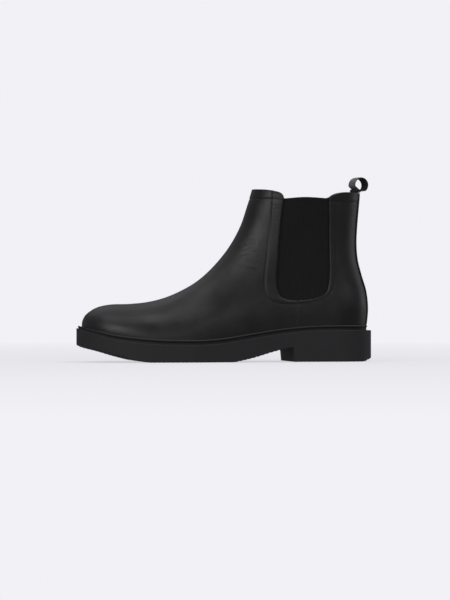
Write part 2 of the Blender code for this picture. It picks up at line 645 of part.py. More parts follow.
def build_welt(parts):
    """A bead that stands on the sole unit all round the upper, on a neck narrower than itself."""
    line = outline()
    out = normals(line, closed=True)
    edge = graph(WELT_STAND)(line[:, 0])[:, None]
    neck = edge - WELT_NECK
    shoulder = WELT_HEIGHT - WELT_BEVEL_DROP
    profile = [(None, GAP), (neck, GAP), (neck, WELT_NECK_TOP), (edge, WELT_BEAD_LOW), (edge, shoulder),
               (edge - WELT_BEVEL, WELT_HEIGHT), (None, WELT_HEIGHT)]
    rows = []
    for reach, height in profile:
        if reach is None:
            skin = outline(height)
            plan = skin + normals(skin, closed=True) * GAP
        else:
            plan = line + out * reach
        rows.append(np.column_stack([plan, sole_top(plan[:, 0]) + height]))
    rows = np.array(rows)
    bm = bmesh.new()
    verts = [[bm.verts.new(point * MM) for point in row] for row in rows]
    for low, high in zip(verts, verts[1:] + verts[:1]):
        for a, b, c, d in zip(low, high, high[1:] + high[:1], low[1:] + low[:1]):
            bm.faces.new((a, b, c, d))
    bmesh.ops.recalc_face_normals(bm, faces=bm.faces)
    mesh = bpy.data.meshes.new("welt")
    bm.to_mesh(mesh)
    bm.free()
    welt = add_object("welt", mesh, parts, material("black_rubber"))
    welt.data.shade_smooth()
    welt.data.set_sharp_from_angle(angle=CREASE_ANGLE)


# Insole -----------------------------------------------------------------------------------------

def inset_sides(inset):
    """Functions of x for the outer and inner edge of the plan outline, moved inwards."""
    line = offset_outline(-inset)
    half = len(line) // 2
    outer = line[:half + 1]
    inner = np.vstack([line[half:], line[:1]])[::-1]
    ends = max(outer[:, 0].min(), inner[:, 0].min()), min(outer[:, 0].max(), inner[:, 0].max())
    sides = [lambda x, edge=edge: np.interp(x, edge[:, 0], edge[:, 1]) for edge in (outer, inner)]
    return sides, ends


def sole_sheet(name, sides, x, low, thickness, group, across=SHEET_STEPS_ACROSS):
    """A sheet that follows the sole unit's top face, low millimetres over it, through the places x."""
    height = sole_top(x) + low
    columns = []
    for t in even(across):
        columns.append(np.column_stack([x, (1 - t) * sides[0](x) + t * sides[1](x), height]))
    finish = material(SHEET_FINISHES[name])
    sheet = surface_object(name, [(np.array(columns), (0.0, 0.0, 1.0))], group, finish)
    thicken(sheet, -thickness, thickness)
    return sheet


def stretch(start_x, end_x, steps, eased=(True, True)):
    """Places from start_x to end_x, packed closer at the ends that are eased."""
    return start_x + (end_x - start_x) * ease(steps, *eased, softness=PLAN_EASE)


def rivet_frame(x):
    """Place of a rivet's foot on the sole unit, and its tilt to stand square on the slope."""
    slope = float(sole_top(x + 1.0) - sole_top(x - 1.0)) / 2.0
    return (x * MM, SHANK_Y * MM, float(sole_top(x)) * MM), (0.0, -math.atan(slope), 0.0)


def upright_cylinder(name, radius, low, high, x, group, finish=None):
    bm = bmesh.new()
    made = bmesh.ops.create_cone(bm, cap_ends=True, segments=RIVET_STEPS, radius1=radius * MM,
                                 radius2=radius * MM, depth=(high - low) * MM)
    bmesh.ops.translate(bm, verts=made["verts"], vec=(0.0, 0.0, (high + low) / 2 * MM))
    mesh = bpy.data.meshes.new(name)
    bm.to_mesh(mesh)
    bm.free()
    item = add_object(name, mesh, group, finish)
    item.location, item.rotation_euler = rivet_frame(x)
    return item


def build_rivet(place, x, shank, board, parts, cutters):
    board_top = BOARD_LOW + BOARD_THICKNESS
    name = "shank_rivet_" + place
    steel = material("rivet_steel")
    rivet = upright_cylinder(name, RIVET_RADIUS, RIVET_FOOT, board_top, x, parts, steel)
    head_top = GAP + RIVET_HEAD
    head = upright_cylinder(name + "_head", RIVET_HEAD_RADIUS, GAP, head_top, x, cutters)
    cut(rivet, head, "UNION")
    hole_radius = RIVET_RADIUS + GAP
    hole = upright_cylinder(name + "_hole", hole_radius, head_top, board_top + HOLE_OVERRUN, x, cutters)
    cut(shank, hole)
    cut(board, hole)


def shank_edge(side):
    return lambda x: np.full_like(x, SHANK_Y + side * SHANK_HALF_WIDTH)


def build_insole(parts, cutters):
    sides, (toe, heel) = inset_sides(BOARD_INSET)
    x = stretch(toe + SHEET_END, heel - SHEET_END, BOARD_STEPS)
    board = sole_sheet("insole_board", sides, x, BOARD_LOW, BOARD_THICKNESS, parts)
    sides, (toe, heel) = inset_sides(FILLER_INSET)
    x = stretch(toe + SHEET_END, FILLER_END_X, FILLER_STEPS, (True, False))
    sole_sheet("filler", sides, x, FILLER_LOW, FILLER_THICKNESS, parts)
    x = stretch(SHANK_START_X, SHANK_END_X, SHANK_STEPS, (False, False))
    sides = [shank_edge(LATERAL), shank_edge(MEDIAL)]
    shank = sole_sheet("shank", sides, x, SHANK_LOW, SHANK_THICKNESS, parts, SHANK_STEPS_ACROSS)
    sides, (toe, heel) = inset_sides(PAD_INSET)
    x = stretch(PAD_START_X, heel - SHEET_END, PAD_STEPS, (False, True))
    sole_sheet("heel_pad", sides, x, PAD_LOW, PAD_THICKNESS, parts)
    sides, (toe, heel) = inset_sides(SOCK_INSET)
    x = stretch(toe + SHEET_END, heel - SHEET_END, SOCK_STEPS)
    rise = smoothstep((x - SOCK_RISE_X[0]) / (SOCK_RISE_X[1] - SOCK_RISE_X[0]))
    low = PAD_LOW + (PAD_THICKNESS + GAP) * rise
    sole_sheet("sock_liner", sides, x, low, SOCK_THICKNESS, parts)
    for place, x in RIVET_X.items():
        build_rivet(place, x, shank, board, parts, cutters)


def main():
    clear_scene()
    parts = collection(COLLECTION)
    cutters = collection("cutters")
    build_upper(parts)
    build_pull_loop(parts)
    build_welt(parts)
    build_outsole(parts, cutters)
    build_insole(parts, cutters)


main()
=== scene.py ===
"""Looks of the chelsea boot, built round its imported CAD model.

Pieces are drawn in millimetres, in the CAD's own frame: the toe points along -X, the outer side of
the foot faces -Y and +Z is up. The upper is drawn in its side view, as points (x, z): skin_y() gives
the place of the leather across the foot at any such point, and relief() gives how far its folded
edges, seams and creases stand out there.
"""
import math

import bmesh
import bpy
import numpy as np
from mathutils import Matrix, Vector


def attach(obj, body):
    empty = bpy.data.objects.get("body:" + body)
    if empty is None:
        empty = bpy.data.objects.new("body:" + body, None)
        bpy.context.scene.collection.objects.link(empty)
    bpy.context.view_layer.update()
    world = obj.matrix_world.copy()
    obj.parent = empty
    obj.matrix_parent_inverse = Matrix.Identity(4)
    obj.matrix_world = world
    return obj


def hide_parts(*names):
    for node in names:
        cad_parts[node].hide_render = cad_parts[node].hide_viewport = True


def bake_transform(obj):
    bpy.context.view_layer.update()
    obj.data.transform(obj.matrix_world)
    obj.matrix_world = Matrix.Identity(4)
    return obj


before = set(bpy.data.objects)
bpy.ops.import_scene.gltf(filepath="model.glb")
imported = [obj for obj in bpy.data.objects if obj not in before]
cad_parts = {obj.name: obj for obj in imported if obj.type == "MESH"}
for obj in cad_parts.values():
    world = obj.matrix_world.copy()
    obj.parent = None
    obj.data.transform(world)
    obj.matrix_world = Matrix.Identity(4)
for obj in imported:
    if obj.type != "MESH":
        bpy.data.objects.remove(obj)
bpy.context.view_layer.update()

MM = 0.001
LATERAL, MEDIAL = -1, 1
SIDES = {LATERAL: "lateral", MEDIAL: "medial"}
GAP = 0.3

# Upper, side view
TOE_TIP = -147.0
RIDGE = [(TOE_TIP, 39.5), (-146.2, 42.6), (-143.3, 47.5), (-137.4, 52.3), (-129.9, 56.0), (-117.4, 58.5),
         (-99.4, 59.0), (-79.9, 61.0), (-60.9, 65.8), (-40.9, 74.8), (-25.8, 84.5), (-6.9, 102.7),
         (7.0, 121.2), (16.8, 139.7), (23.2, 158.2), (29.0, 176.6)]
BACK = [(145.3, 31.0), (147.0, 44.0), (147.6, 56.0), (145.8, 72.0), (141.0, 88.0), (136.9, 104.0),
        (135.5, 120.0), (136.1, 137.0), (137.6, 155.0), (139.2, 173.0)]
FRONT_TAB = [(54.6, 166.6), (54.0, 169.6), (51.4, 172.5), (46.4, 174.3), (39.6, 175.6), RIDGE[-1]]
REAR_CORNER_TOP = (101.5, 166.7)
REAR_TAB = {
    LATERAL: [REAR_CORNER_TOP, (104.8, 169.3), (109.2, 171.3), (116.1, 172.7), (126.6, 173.4), BACK[-1]],
    MEDIAL: [REAR_CORNER_TOP, (106.8, 167.0), (113.5, 168.9), (121.5, 171.4), (130.0, 172.8), BACK[-1]],
}
GUSSET_TOP = [FRONT_TAB[0], (76.6, 167.9), REAR_CORNER_TOP]
OPENING = [FRONT_TAB[0], (51.2, 138.0), (48.8, 105.0), (47.5, 80.0), (50.8, 67.6), (58.6, 63.2),
           (73.9, 62.8), (89.1, 65.5), (98.6, 70.3), (101.8, 80.0), (102.5, 125.0), REAR_CORNER_TOP]
FRONT_CORNER, SEAM_TOP, REAR_CORNER = 4, 6, 8
SEAM_FOOT_X = 72.2
FRONT_RISER_X = 49.6
REAR_RISER_X = 100.1
RIDGE_BREAKS = (-30.0, -8.0)

# Upper, width of each half and the way it rounds over
CENTRE_LINE = [(-150.0, 7.6), (-100.0, 5.2), (-50.0, 2.1), (0.0, 0.3), (60.0, 0.0), (150.0, 0.0)]
FEATHER_HALF_WIDTH = {
    LATERAL: [(-147.0, 53.0), (-108.0, 50.5), (-78.0, 51.0), (-48.0, 50.6), (-15.0, 45.0), (20.0, 37.5),
              (60.0, 32.8), (100.0, 32.3), (147.0, 33.0)],
    MEDIAL: [(-147.0, 43.0), (-108.0, 42.5), (-78.0, 45.0), (-48.0, 43.7), (-15.0, 36.2), (20.0, 30.6),
             (60.0, 29.9), (100.0, 31.8), (147.0, 33.0)],
}
SHAFT_HALF_WIDTH = [(60.0, 34.0), (110.0, 33.5), (177.0, 38.0)]
SHAFT_BLEND_HEIGHT = 75.0
TOE_ROUND = 62.0
RIDGE_ROUND = [(50.0, 42.0), (100.0, 44.0), (177.0, 52.0)]
BACK_ROUND = [(30.0, 37.0), (100.0, 40.0), (177.0, 50.0)]
ROUND_POWER = 2.2
SLICE_POWER = 2.3
SLICE_BULGE = 0.05
SLICES_END, SHAFT_START = -90.0, -30.0
SIDE_BULGE, SIDE_BULGE_HEIGHT, SIDE_BULGE_REACH = 1.8, 22.0, 18.0

# Layers of the upper, from the outside in
LEATHER = 1.3
GUSSET_DEPTH, GUSSET_THICKNESS, GUSSET_MARGIN = 1.9, 1.1, 7.0
LINING_DEPTH, LINING_THICKNESS, LINING_LIFT = 3.6, 1.0, 5.3
STRIP_THICKNESS, STRIP_HALF_WIDTH = 1.2, 8.0
SEAM_HALF_GAP = 0.05
EDGE_BEVEL, LINING_BEVEL, TOPLINE_BEVEL = 0.3, 0.25, 0.5
STRIP_CROWN = 0.4
TOPLINE_DEPTH, TOPLINE_CLEAR_OF_LOOP, TOPLINE_SLACK = 2.4, 1.8, 0.05
TOPLINE_FRONT_START, TOPLINE_REAR_START, TOPLINE_STEPS, TOPLINE_ROWS = 0.04, 0.03, 60, 4
STRIP_STEPS = {"up": 130, "across": 41}
BACK_PROBE_ROOT, BACK_PROBE_STEPS = 3.0, 80

# Steps of the fine meshes
VAMP_STEPS = {"along": 130, "riser": 34, "edge": 130, "block": 22, "over": 60}
QUARTER_STEPS = {"riser": 34, "edge": 90, "block": 26, "across": 50}
VAMP_LINING_STEPS = {"along": 60, "riser": 12, "edge": 36, "block": 8, "over": 24}
QUARTER_LINING_STEPS = {"riser": 12, "edge": 36, "block": 8, "across": 24}
OUTLINE_STEPS = 150
EASE, PLAN_EASE = 0.2, 0.12
WELD, SHORTEST_EDGE = 0.03, 0.01
NORMAL_STEP = 0.3

# Relief of the leather
BAND = [(42.9, 178.0), (42.6, 164.0), (41.5, 145.3), (39.4, 124.8), (37.3, 104.2), (35.4, 88.8), (35.2, 75.5),
        (37.9, 66.2), (43.2, 61.4), (52.5, 59.3), (73.0, 59.4), (89.5, 62.3), (99.9, 66.8), (106.0, 74.5),
        (108.6, 85.0), (109.4, 125.0), (109.0, 178.0)]
BAND_RAISE, BAND_SHOULDER = 0.55, 1.8
REAR_BAND_RAISE, REAR_BAND_START = 0.16, (60.0, 95.0)
EDGE_DROP, EDGE_ROLL = 0.7, 1.3
STITCH_GROOVE, STITCH_GROOVE_WIDTH, REAR_GROOVE_LOSS = 0.35, 0.8, 0.5
PUCKER, PUCKER_PITCH, PUCKER_FADE = 0.05, 4.0, 3.0
FOLD_LINES = ([(15.0, 167.2), (32.0, 166.6), (45.0, 165.8), (54.0, 164.6)],
              [(102.5, 163.4), (112.0, 163.2), (126.0, 163.4), (143.0, 164.0)])
FOLD_RAISE, FOLD_SHOULDER = 0.22, 1.2
LAP_RAISE, LAP_REACH, LAP_TOP_FADE, LAP_PAST_SEAM = 0.3, 5.0, 4.0, 3.0
CREASES, CREASE_SEED = 9, 5
CREASE_X, CREASE_Z = (7.0, 35.0), (94.0, 124.0)
CREASE_DEPTH, CREASE_WIDTH = (0.20, 0.38), (0.8, 1.2)
CREASE_SCATTER, CREASE_TRIM, CREASE_LEAN, CREASE_FADE = 0.7, 9.0, 0.15, 4.0
CREASE_SAG, CREASE_TILT = (0.5, 2.0), (-0.05, 0.08)
WAVINESS = 0.05

# Thread
STITCH_PITCH, STITCH_LENGTH, THREAD_RADIUS = 2.7, 2.1, 0.24
STITCH_RINGS, STITCH_SIDES = 4, 6
THREAD_RISE, THREAD_SINK, THREAD_END = 1.5, 0.8, 0.35
FOLD_ROW_START_X, FOLD_ROW_END = 28.5, 3.2
FOLD_ROW_STEPS, SEAM_ROW_STEPS, STRIP_ROW_STEPS = (40, 50), 60, 120
SEAM_ROW_ENDS, STRIP_ROW_END, BESIDE = (1.0, 6.5), 2.0, 0.8
EDGE_ROW, SEAM_ROW, STRIP_STITCH_Y = 2.6, 2.2, 6.3

# Elastic
RIB_SPACING, RIB_RELIEF = 1.7, 0.24
SELVEDGE, SELVEDGE_RAISE = 2.6, 0.35
GUSSET_STEPS = {"across": 220, "up": 80}

# Sole unit
SOLE_TOP = [(-153.6, 34.9), (-143.0, 30.0), (-131.1, 26.2), (-119.4, 22.9), (-103.4, 20.7), (-87.4, 19.1),
            (-71.1, 18.0), (-38.4, 17.5), (-20.7, 18.2), (-3.8, 20.1), (28.6, 25.2), (58.6, 29.3),
            (88.6, 31.7), (112.6, 32.1), (152.4, 31.8)]
FOREPART_BOTTOM = [(-153.6, 18.0), (-146.9, 15.0), (-127.4, 10.0), (-107.4, 4.3), (-90.4, 0.5), (-83.4, 0.0),
                   (0.6, 0.0), (8.1, 1.2), (21.6, 4.1), (43.6, 10.4), (64.1, 15.3)]
HEEL_BOTTOM = [(65.6, 0.0), (140.1, 0.0), (152.4, 4.1)]
SOLE_STAND = [(-147.0, 5.4), (-120.0, 5.4), (105.0, 5.3), (145.0, 6.95)]
RIB_PITCH, RIB_TIP, RIB_DEPTH, RIB_SLOPE = 4.7, 2.9, 1.0, 0.4
SOLE_STEPS = 120
SOLE_ROUND, SOLE_CORNER_STEPS, SOLE_SUPPORT = 0.35, 3, 1.1
CREASE_ANGLE = math.radians(32.0)
WELT_STAND = [(-147.0, 3.9), (-138.0, 3.2), (-120.0, 2.9), (145.0, 2.9)]
WELT_NECK = [(-150.0, 0.2), (-142.0, 0.6), (-122.0, 2.3), (130.0, 2.3), (147.0, 0.5)]
WELT_HEIGHT = 5.2
WELT_SCALE = [(-150.0, 0.60), (-138.0, 0.80), (-116.0, 1.0), (150.0, 1.0)]
WELT_SEAT = -0.05
WELT_BEAD_LOW, WELT_BEAD_STEPS = 2.9, 9
WELT_SINK, WELT_CONTACT = 0.9, 0.15

# Insole
PAD_LOW, PAD_THICKNESS, PAD_INSET, PAD_START_X = 5.1, 2.0, 8.0, 94.0
SOCK_THICKNESS, SOCK_INSET, SOCK_RISE_X = 1.3, 5.6, (72.0, 91.0)
SHEET_END, CUSHION_ROLL = 1.0, 3.0
SOCK_CROWN, PAD_CROWN = 0.7, 1.2
SHEET_STEPS = {"along": 120, "across": 40}

# Pull loop
LOOP_WIDTH, LOOP_THICKNESS, LOOP_RADIUS = 16.0, 1.4, 8.0
LOOP_CENTRE, LOOP_PIVOT = (140.5, 181.9), (136.0, 175.2)
LOOP_TWIST = math.radians(12.0)
LOOP_RING = (-50.0, 196.0, 14.0)
LOOP_START = [(0.6, -4.0), (0.8, -1.4), (3.4, -0.2)]
LOOP_END = [(-1.3, 1.4), (-0.75, -1.2), (-0.6, -4.0)]
LOOP_SECTION_STEPS, LOOP_SECTION_POWERS = 36, (0.35, 0.6)


# Studio, in metres
PAPER = (0.885, 0.878, 0.922)
# Glow share of the paper near the boot and far from it, and the distances between: the lower glow near the boot
# paints a soft shade round it.
PAPER_GLOW, PAPER_SHADE_REACH = (0.66, 1.0), (0.15, 1.45)
WORLD_STRENGTH = 0.166
SOFTBOX_AIM = (0.0, 0.0, 0.1)
SOFTBOXES = {
    "front": ((-0.42, -2.36, 0.31), (1.1, 0.9), 4.05),
    "front_left": ((-1.62, -1.38, 1.15), (1.7, 1.0), 13.6),
    "front_right": ((1.36, -1.62, 1.23), (1.1, 0.9), 4.35),
    "right": ((2.25, 0.90, 0.31), (0.8, 0.9), 1.6),
    "top_left": ((-0.9, 0.0, 2.2), (1.2, 1.2), 5.4),
    "top_right": ((0.9, 0.0, 2.2), (1.2, 1.2), 20.0),
    "top_back": ((-0.5, 1.5, 1.6), (1.6, 1.0), 2.2),
}
CAMERA_AZIMUTH, CAMERA_HEIGHT, CAMERA_DISTANCE = math.radians(-10.0), 0.063, 3.0
CAMERA_FOCAL, CAMERA_SENSOR = 175.3, 36.0
FLOOR_FRONT, FLOOR_BACK, FLOOR_HALF_WIDTH, SWEEP_RADIUS, SWEEP_HEIGHT = -5.0, 1.6, 4.0, 1.0, 4.0
FLOOR_DROP = 0.0003


# Curves -----------------------------------------------------------------------------------------

def smooth_line(points, per_span=12):
    """Dense polyline of the centripetal Catmull-Rom curve through the points."""
    knots = np.array(points, float)
    knots = np.vstack([2 * knots[0] - knots[1], knots, 2 * knots[-1] - knots[-2]])
    line = []
    for p0, p1, p2, p3 in zip(knots, knots[1:], knots[2:], knots[3:]):
        t1 = np.linalg.norm(p1 - p0) ** 0.5
        t2 = t1 + np.linalg.norm(p2 - p1) ** 0.5
        t3 = t2 + np.linalg.norm(p3 - p2) ** 0.5
        t = np.linspace(t1, t2, per_span, endpoint=False)[:, None]
        a1 = ((t1 - t) * p0 + t * p1) / t1
        a2 = ((t2 - t) * p1 + (t - t1) * p2) / (t2 - t1)
        a3 = ((t3 - t) * p2 + (t - t2) * p3) / (t3 - t2)
        b1 = ((t2 - t) * a1 + t * a2) / t2
        b2 = ((t3 - t) * a2 + (t - t1) * a3) / (t3 - t1)
        line.append(((t2 - t) * b1 + (t - t1) * b2) / (t2 - t1))
    return np.vstack(line + [knots[-2]])


def graph(points):
    """Smooth function through the points, without overshoot between them."""
    xs, ys = np.array(points, float).T
    steps = np.diff(ys) / np.diff(xs)
    slopes = np.concatenate([steps[:1], np.zeros(len(xs) - 2), steps[-1:]])
    for i in range(1, len(xs) - 1):
        if steps[i - 1] * steps[i] > 0:
            slopes[i] = 2 / (1 / steps[i - 1] + 1 / steps[i])

    def value(x):
        x = np.clip(x, xs[0], xs[-1])
        i = np.clip(np.searchsorted(xs, x) - 1, 0, len(xs) - 2)
        span = xs[i + 1] - xs[i]
        t = (x - xs[i]) / span
        start = ys[i] * (1 + 2 * t) * (1 - t) ** 2 + slopes[i] * span * t * (1 - t) ** 2
        return start + ys[i + 1] * t * t * (3 - 2 * t) + slopes[i + 1] * span * t * t * (t - 1)

    return value


def smoothstep(t):
    t = np.clip(t, 0.0, 1.0)
    return t * t * (3 - 2 * t)


def lengths(line):
    """Distance along a polyline at each of its points, as fractions of the whole."""
    run = np.concatenate([[0.0], np.cumsum(np.linalg.norm(np.diff(line, axis=0), axis=1))])
    return run / run[-1]


def spaced(line, fractions):
    """Points at the given fractions of a polyline's length."""
    at = lengths(line)
    return np.column_stack([np.interp(fractions, at, line[:, k]) for k in range(line.shape[1])])


def even(count):
    """Fractions from 0 to 1 in count even steps."""
    return np.linspace(0.0, 1.0, count + 1)


def ease(count, start=False, end=False, softness=EASE):
    """Fractions from 0 to 1 in count steps, packed closer where the surface turns a silhouette."""
    t = np.linspace(0.0, 1.0, count + 1)
    if start and end:
        near = ease(count, start=True, softness=softness)
        return near * (1 - t) + (1 - near[::-1]) * t
    if start:
        return t * t * (1 + softness) / (t + softness)
    if end:
        return 1 - ease(count, start=True, softness=softness)[::-1]
    return t


def distance(points, line):
    """Distance from each point to the nearest place on a polyline."""
    start, run = line[:-1], np.diff(line, axis=0)
    away = points[:, None, :] - start[None]
    t = np.clip((away * run).sum(2) / (run * run).sum(1), 0.0, 1.0)
    return np.linalg.norm(away - t[..., None] * run, axis=2).min(1)


def normals(line, closed=False):
    """Unit vectors to the right of a polyline's direction."""
    if closed:
        run = np.roll(line, -1, axis=0) - np.roll(line, 1, axis=0)
    else:
        run = np.gradient(line, axis=0)
    right = np.column_stack([run[:, 1], -run[:, 0]])
    return right / np.linalg.norm(right, axis=1)[:, None]


# Shape of the foot ------------------------------------------------------------------------------

ridge_line = smooth_line(RIDGE)
back_line = smooth_line(BACK)
opening_line = smooth_line(OPENING)
sole_top = graph(SOLE_TOP)
forepart_bottom = graph(FOREPART_BOTTOM)
centre_y = graph(CENTRE_LINE)
feather_half = {side: graph(points) for side, points in FEATHER_HALF_WIDTH.items()}
shaft_half = graph(SHAFT_HALF_WIDTH)
ridge_round = graph(RIDGE_ROUND)
back_round = graph(BACK_ROUND)
sole_stand = graph(SOLE_STAND)


def feather_z(x):
    """Height of the upper's lower edge, just over the sole unit."""
    return sole_top(x) + GAP


def ridge_z(x):
    return np.interp(x, ridge_line[:, 0], ridge_line[:, 1])


def back_x(z):
    return np.interp(z, back_line[:, 1], back_line[:, 0])


def roundness(depth, radius, power=ROUND_POWER):
    """0 on a silhouette, 1 where the surface has turned to face sideways."""
    return (1 - (1 - np.clip(depth / radius, 0.0, 1.0)) ** power) ** (1 / power)


def skin_y(points, side):
    """Place across the foot of the leather's outer face, at side-view points."""
    points = np.asarray(points, float)
    x, z = points[:, 0], points[:, 1]
    low = feather_half[side](x)
    over_feather = z - feather_z(x)
    rise = np.clip(over_feather / (ridge_z(x) - feather_z(x)), 0.0, 1.0)
    slice_shape = np.sqrt(1 - rise ** SLICE_POWER) + SLICE_BULGE * np.sin(np.pi * rise) * (1 - rise)
    forepart = low * roundness(x - TOE_TIP, TOE_ROUND, 2.0) * slice_shape
    bulge = SIDE_BULGE * np.exp(-((over_feather - SIDE_BULGE_HEIGHT) / SIDE_BULGE_REACH) ** 2)
    width = low + (shaft_half(z) - low) * smoothstep(over_feather / SHAFT_BLEND_HEIGHT) + bulge
    front = roundness(distance(points, ridge_line), ridge_round(z))
    back = roundness(distance(points, back_line), back_round(z))
    blend = smoothstep((x - SLICES_END) / (SHAFT_START - SLICES_END))
    return centre_y(x) + side * ((1 - blend) * forepart + blend * width * front * back)


def feather_points(start_x, end_x, fractions, lift=0.0):
    x = start_x + (end_x - start_x) * fractions
    return np.column_stack([x, feather_z(x) + lift])


def outline(lift=0.0):
    """Plan of the upper over its lower edge: outer side from toe to heel, then back on the inner side."""
    heel = back_x(feather_z(BACK[0][0]) + lift)
    x = TOE_TIP + (heel - TOE_TIP) * ease(OUTLINE_STEPS, start=True, end=True, softness=PLAN_EASE)
    side_view = np.column_stack([x, feather_z(x) + lift])
    outer = np.column_stack([x, skin_y(side_view, LATERAL)])
    inner = np.column_stack([x, skin_y(side_view, MEDIAL)])
    outer[[0, -1], 1] = inner[[0, -1], 1] = centre_y(x[[0, -1]])
    return np.vstack([outer, inner[-2:0:-1]])


def offset_outline(stand):
    """The plan outline moved outwards by stand, a number or one value for each point."""
    line = outline()
    return line + normals(line, closed=True) * np.broadcast_to(stand, len(line))[:, None]


def inside(points, line):
    """Whether each point lies within a closed polyline."""
    x, z = points[:, :1], points[:, 1:]
    x1, z1 = line.T
    x2, z2 = np.roll(line, -1, axis=0).T
    crossed = (z1 > z) != (z2 > z)
    at = x1 + (z - z1) * (x2 - x1) / np.where(z2 == z1, np.inf, z2 - z1)
    return (crossed & (x < at)).sum(1) % 2 == 1


def extended(line, reach):
    """A polyline with its two ends carried straight up."""
    up = np.array([0.0, reach])
    return np.vstack([line[0] + up, line, line[-1] + up])


# Relief of the leather ----------------------------------------------------------------------------

band_line = smooth_line(BAND, 6)
gusset_edge = extended(opening_line, 12.0)
fold_graphs = [graph(points) for points in FOLD_LINES]
gusset_middle_x = (OPENING[0][0] + OPENING[-1][0]) / 2


def groove(away, depth, half_width):
    return -depth * np.exp(-(away / half_width) ** 2)


def over_fold(x, z):
    """Height over the stitched fold under the topline."""
    front, rear = (line(x) for line in fold_graphs)
    return z - np.where(x < gusset_middle_x, front, rear)


def creases(x, z):
    """Fine creases across the front of the ankle."""
    random = np.random.default_rng(CREASE_SEED)
    depth = np.zeros_like(x)
    for step in range(CREASES):
        place = step + random.uniform(0, CREASE_SCATTER)
        height = CREASE_Z[0] + (CREASE_Z[1] - CREASE_Z[0]) * place / CREASES
        start = CREASE_X[0] + random.uniform(0, CREASE_TRIM)
        start += (height - CREASE_Z[0]) * CREASE_LEAN
        end = CREASE_X[1] - random.uniform(0, CREASE_TRIM)
        sag, tilt = random.uniform(*CREASE_SAG), random.uniform(*CREASE_TILT)
        t = (x - start) / (end - start)
        line = height + sag * 4 * t * (1 - t) + tilt * (x - start)
        window = smoothstep(t * CREASE_FADE) * smoothstep((1 - t) * CREASE_FADE)
        strength = random.uniform(*CREASE_DEPTH)
        depth += window * groove(z - line, strength, random.uniform(*CREASE_WIDTH))
    return depth


def relief(flat):
    """How far the finished leather stands out from its smooth shape, at side-view points."""
    x, z = flat.T
    from_edge = distance(flat, gusset_edge)
    from_band = distance(flat, band_line)
    within = inside(flat, band_line)
    rear = smoothstep((x - REAR_BAND_START[0]) / (REAR_BAND_START[1] - REAR_BAND_START[0]))
    raised = BAND_RAISE + (REAR_BAND_RAISE - BAND_RAISE) * rear
    band = raised * smoothstep(from_band / BAND_SHOULDER) * within
    fold = FOLD_RAISE * smoothstep(over_fold(x, z) / FOLD_SHOULDER)
    height = np.maximum(band, fold)
    height -= EDGE_DROP * (1 - smoothstep(from_edge / EDGE_ROLL))
    ripple = np.sin(2 * math.pi * z / PUCKER_PITCH + np.sin(z / 9.0))
    fade = smoothstep(from_band / PUCKER_FADE) * smoothstep(from_edge / PUCKER_FADE)
    height += PUCKER * ripple * within * fade
    height += groove(from_band, STITCH_GROOVE, STITCH_GROOVE_WIDTH) * (1 - REAR_GROOVE_LOSS * rear)
    height += groove(over_fold(x, z), STITCH_GROOVE, STITCH_GROOVE_WIDTH)
    height += WAVINESS * np.sin(x / 9.0 + z / 13.0) * np.sin(z / 7.5 - x / 19.0)
    return height + creases(x, z)


def lap(flat):
    """The vamp's edge, lapped over the quarter at the side seam."""
    x, z = flat.T
    before_seam = SEAM_FOOT_X - x
    low = smoothstep((OPENING[SEAM_TOP][1] + LAP_TOP_FADE - z) / LAP_TOP_FADE)
    return LAP_RAISE * low * smoothstep(1 - before_seam / LAP_REACH) * (x < SEAM_FOOT_X + LAP_PAST_SEAM)


def smooth_skin(flat, side):
    """Points on the leather's smooth shape at side-view points, and the directions that they face."""
    def place(points):
        return np.column_stack([points[:, 0], skin_y(points, side), points[:, 1]])

    along = place(flat + (NORMAL_STEP, 0.0)) - place(flat - (NORMAL_STEP, 0.0))
    up = place(flat + (0.0, NORMAL_STEP)) - place(flat - (0.0, NORMAL_STEP))
    facing = np.cross(along, up) * -side
    return place(flat), facing / np.linalg.norm(facing, axis=1)[:, None]


def skin(flat, side):
    """The same on the finished leather, with its relief."""
    points, facing = smooth_skin(flat, side)
    return points + facing * relief(flat)[:, None], facing


# Meshes -------------------------------------------------------------------------------------------

def add_object(name, mesh, finish, body="boot"):
    item = bpy.data.objects.new(name, mesh)
    bpy.context.scene.collection.objects.link(item)
    mesh.materials.append(finish)
    if body:
        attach(item, body)
    return item


def grid_mesh(name, grids):
    """A mesh of quads over grids of points that share their edges, each turned to face outward."""
    points, faces, count = [], [], 0
    for grid, outward in grids:
        rows, columns = grid.shape[:2]
        index = count + np.arange(rows * columns).reshape(rows, columns)
        corners = np.stack([index[:-1, :-1], index[:-1, 1:], index[1:, 1:], index[1:, :-1]], axis=-1)
        across = np.cross(grid[:-1, 1:] - grid[:-1, :-1], grid[1:, :-1] - grid[:-1, :-1]).sum((0, 1))
        if outward is not None and across @ outward < 0:
            corners = corners[..., ::-1]
        points.append(grid.reshape(-1, 3))
        faces.append(corners.reshape(-1, 4))
        count += rows * columns
    mesh = bpy.data.meshes.new(name)
    mesh.from_pydata(np.vstack(points) * MM, [], np.vstack(faces).tolist())
    bm = bmesh.new()
    bm.from_mesh(mesh)
    bmesh.ops.remove_doubles(bm, verts=bm.verts, dist=WELD * MM)
    bm.to_mesh(mesh)
    bm.free()
    mesh.shade_smooth()
    return mesh


def close(mesh, shortest=0.0):
    """Fill a mesh's open ends and turn its faces outward, without edges under shortest millimetres."""
    bm = bmesh.new()
    bm.from_mesh(mesh)
    if shortest:
        bmesh.ops.dissolve_degenerate(bm, edges=bm.edges, dist=shortest * MM)
    bmesh.ops.holes_fill(bm, edges=[edge for edge in bm.edges if edge.is_boundary])
    bmesh.ops.recalc_face_normals(bm, faces=bm.faces)
    bm.to_mesh(mesh)
    bm.free()
    mesh.shade_smooth()


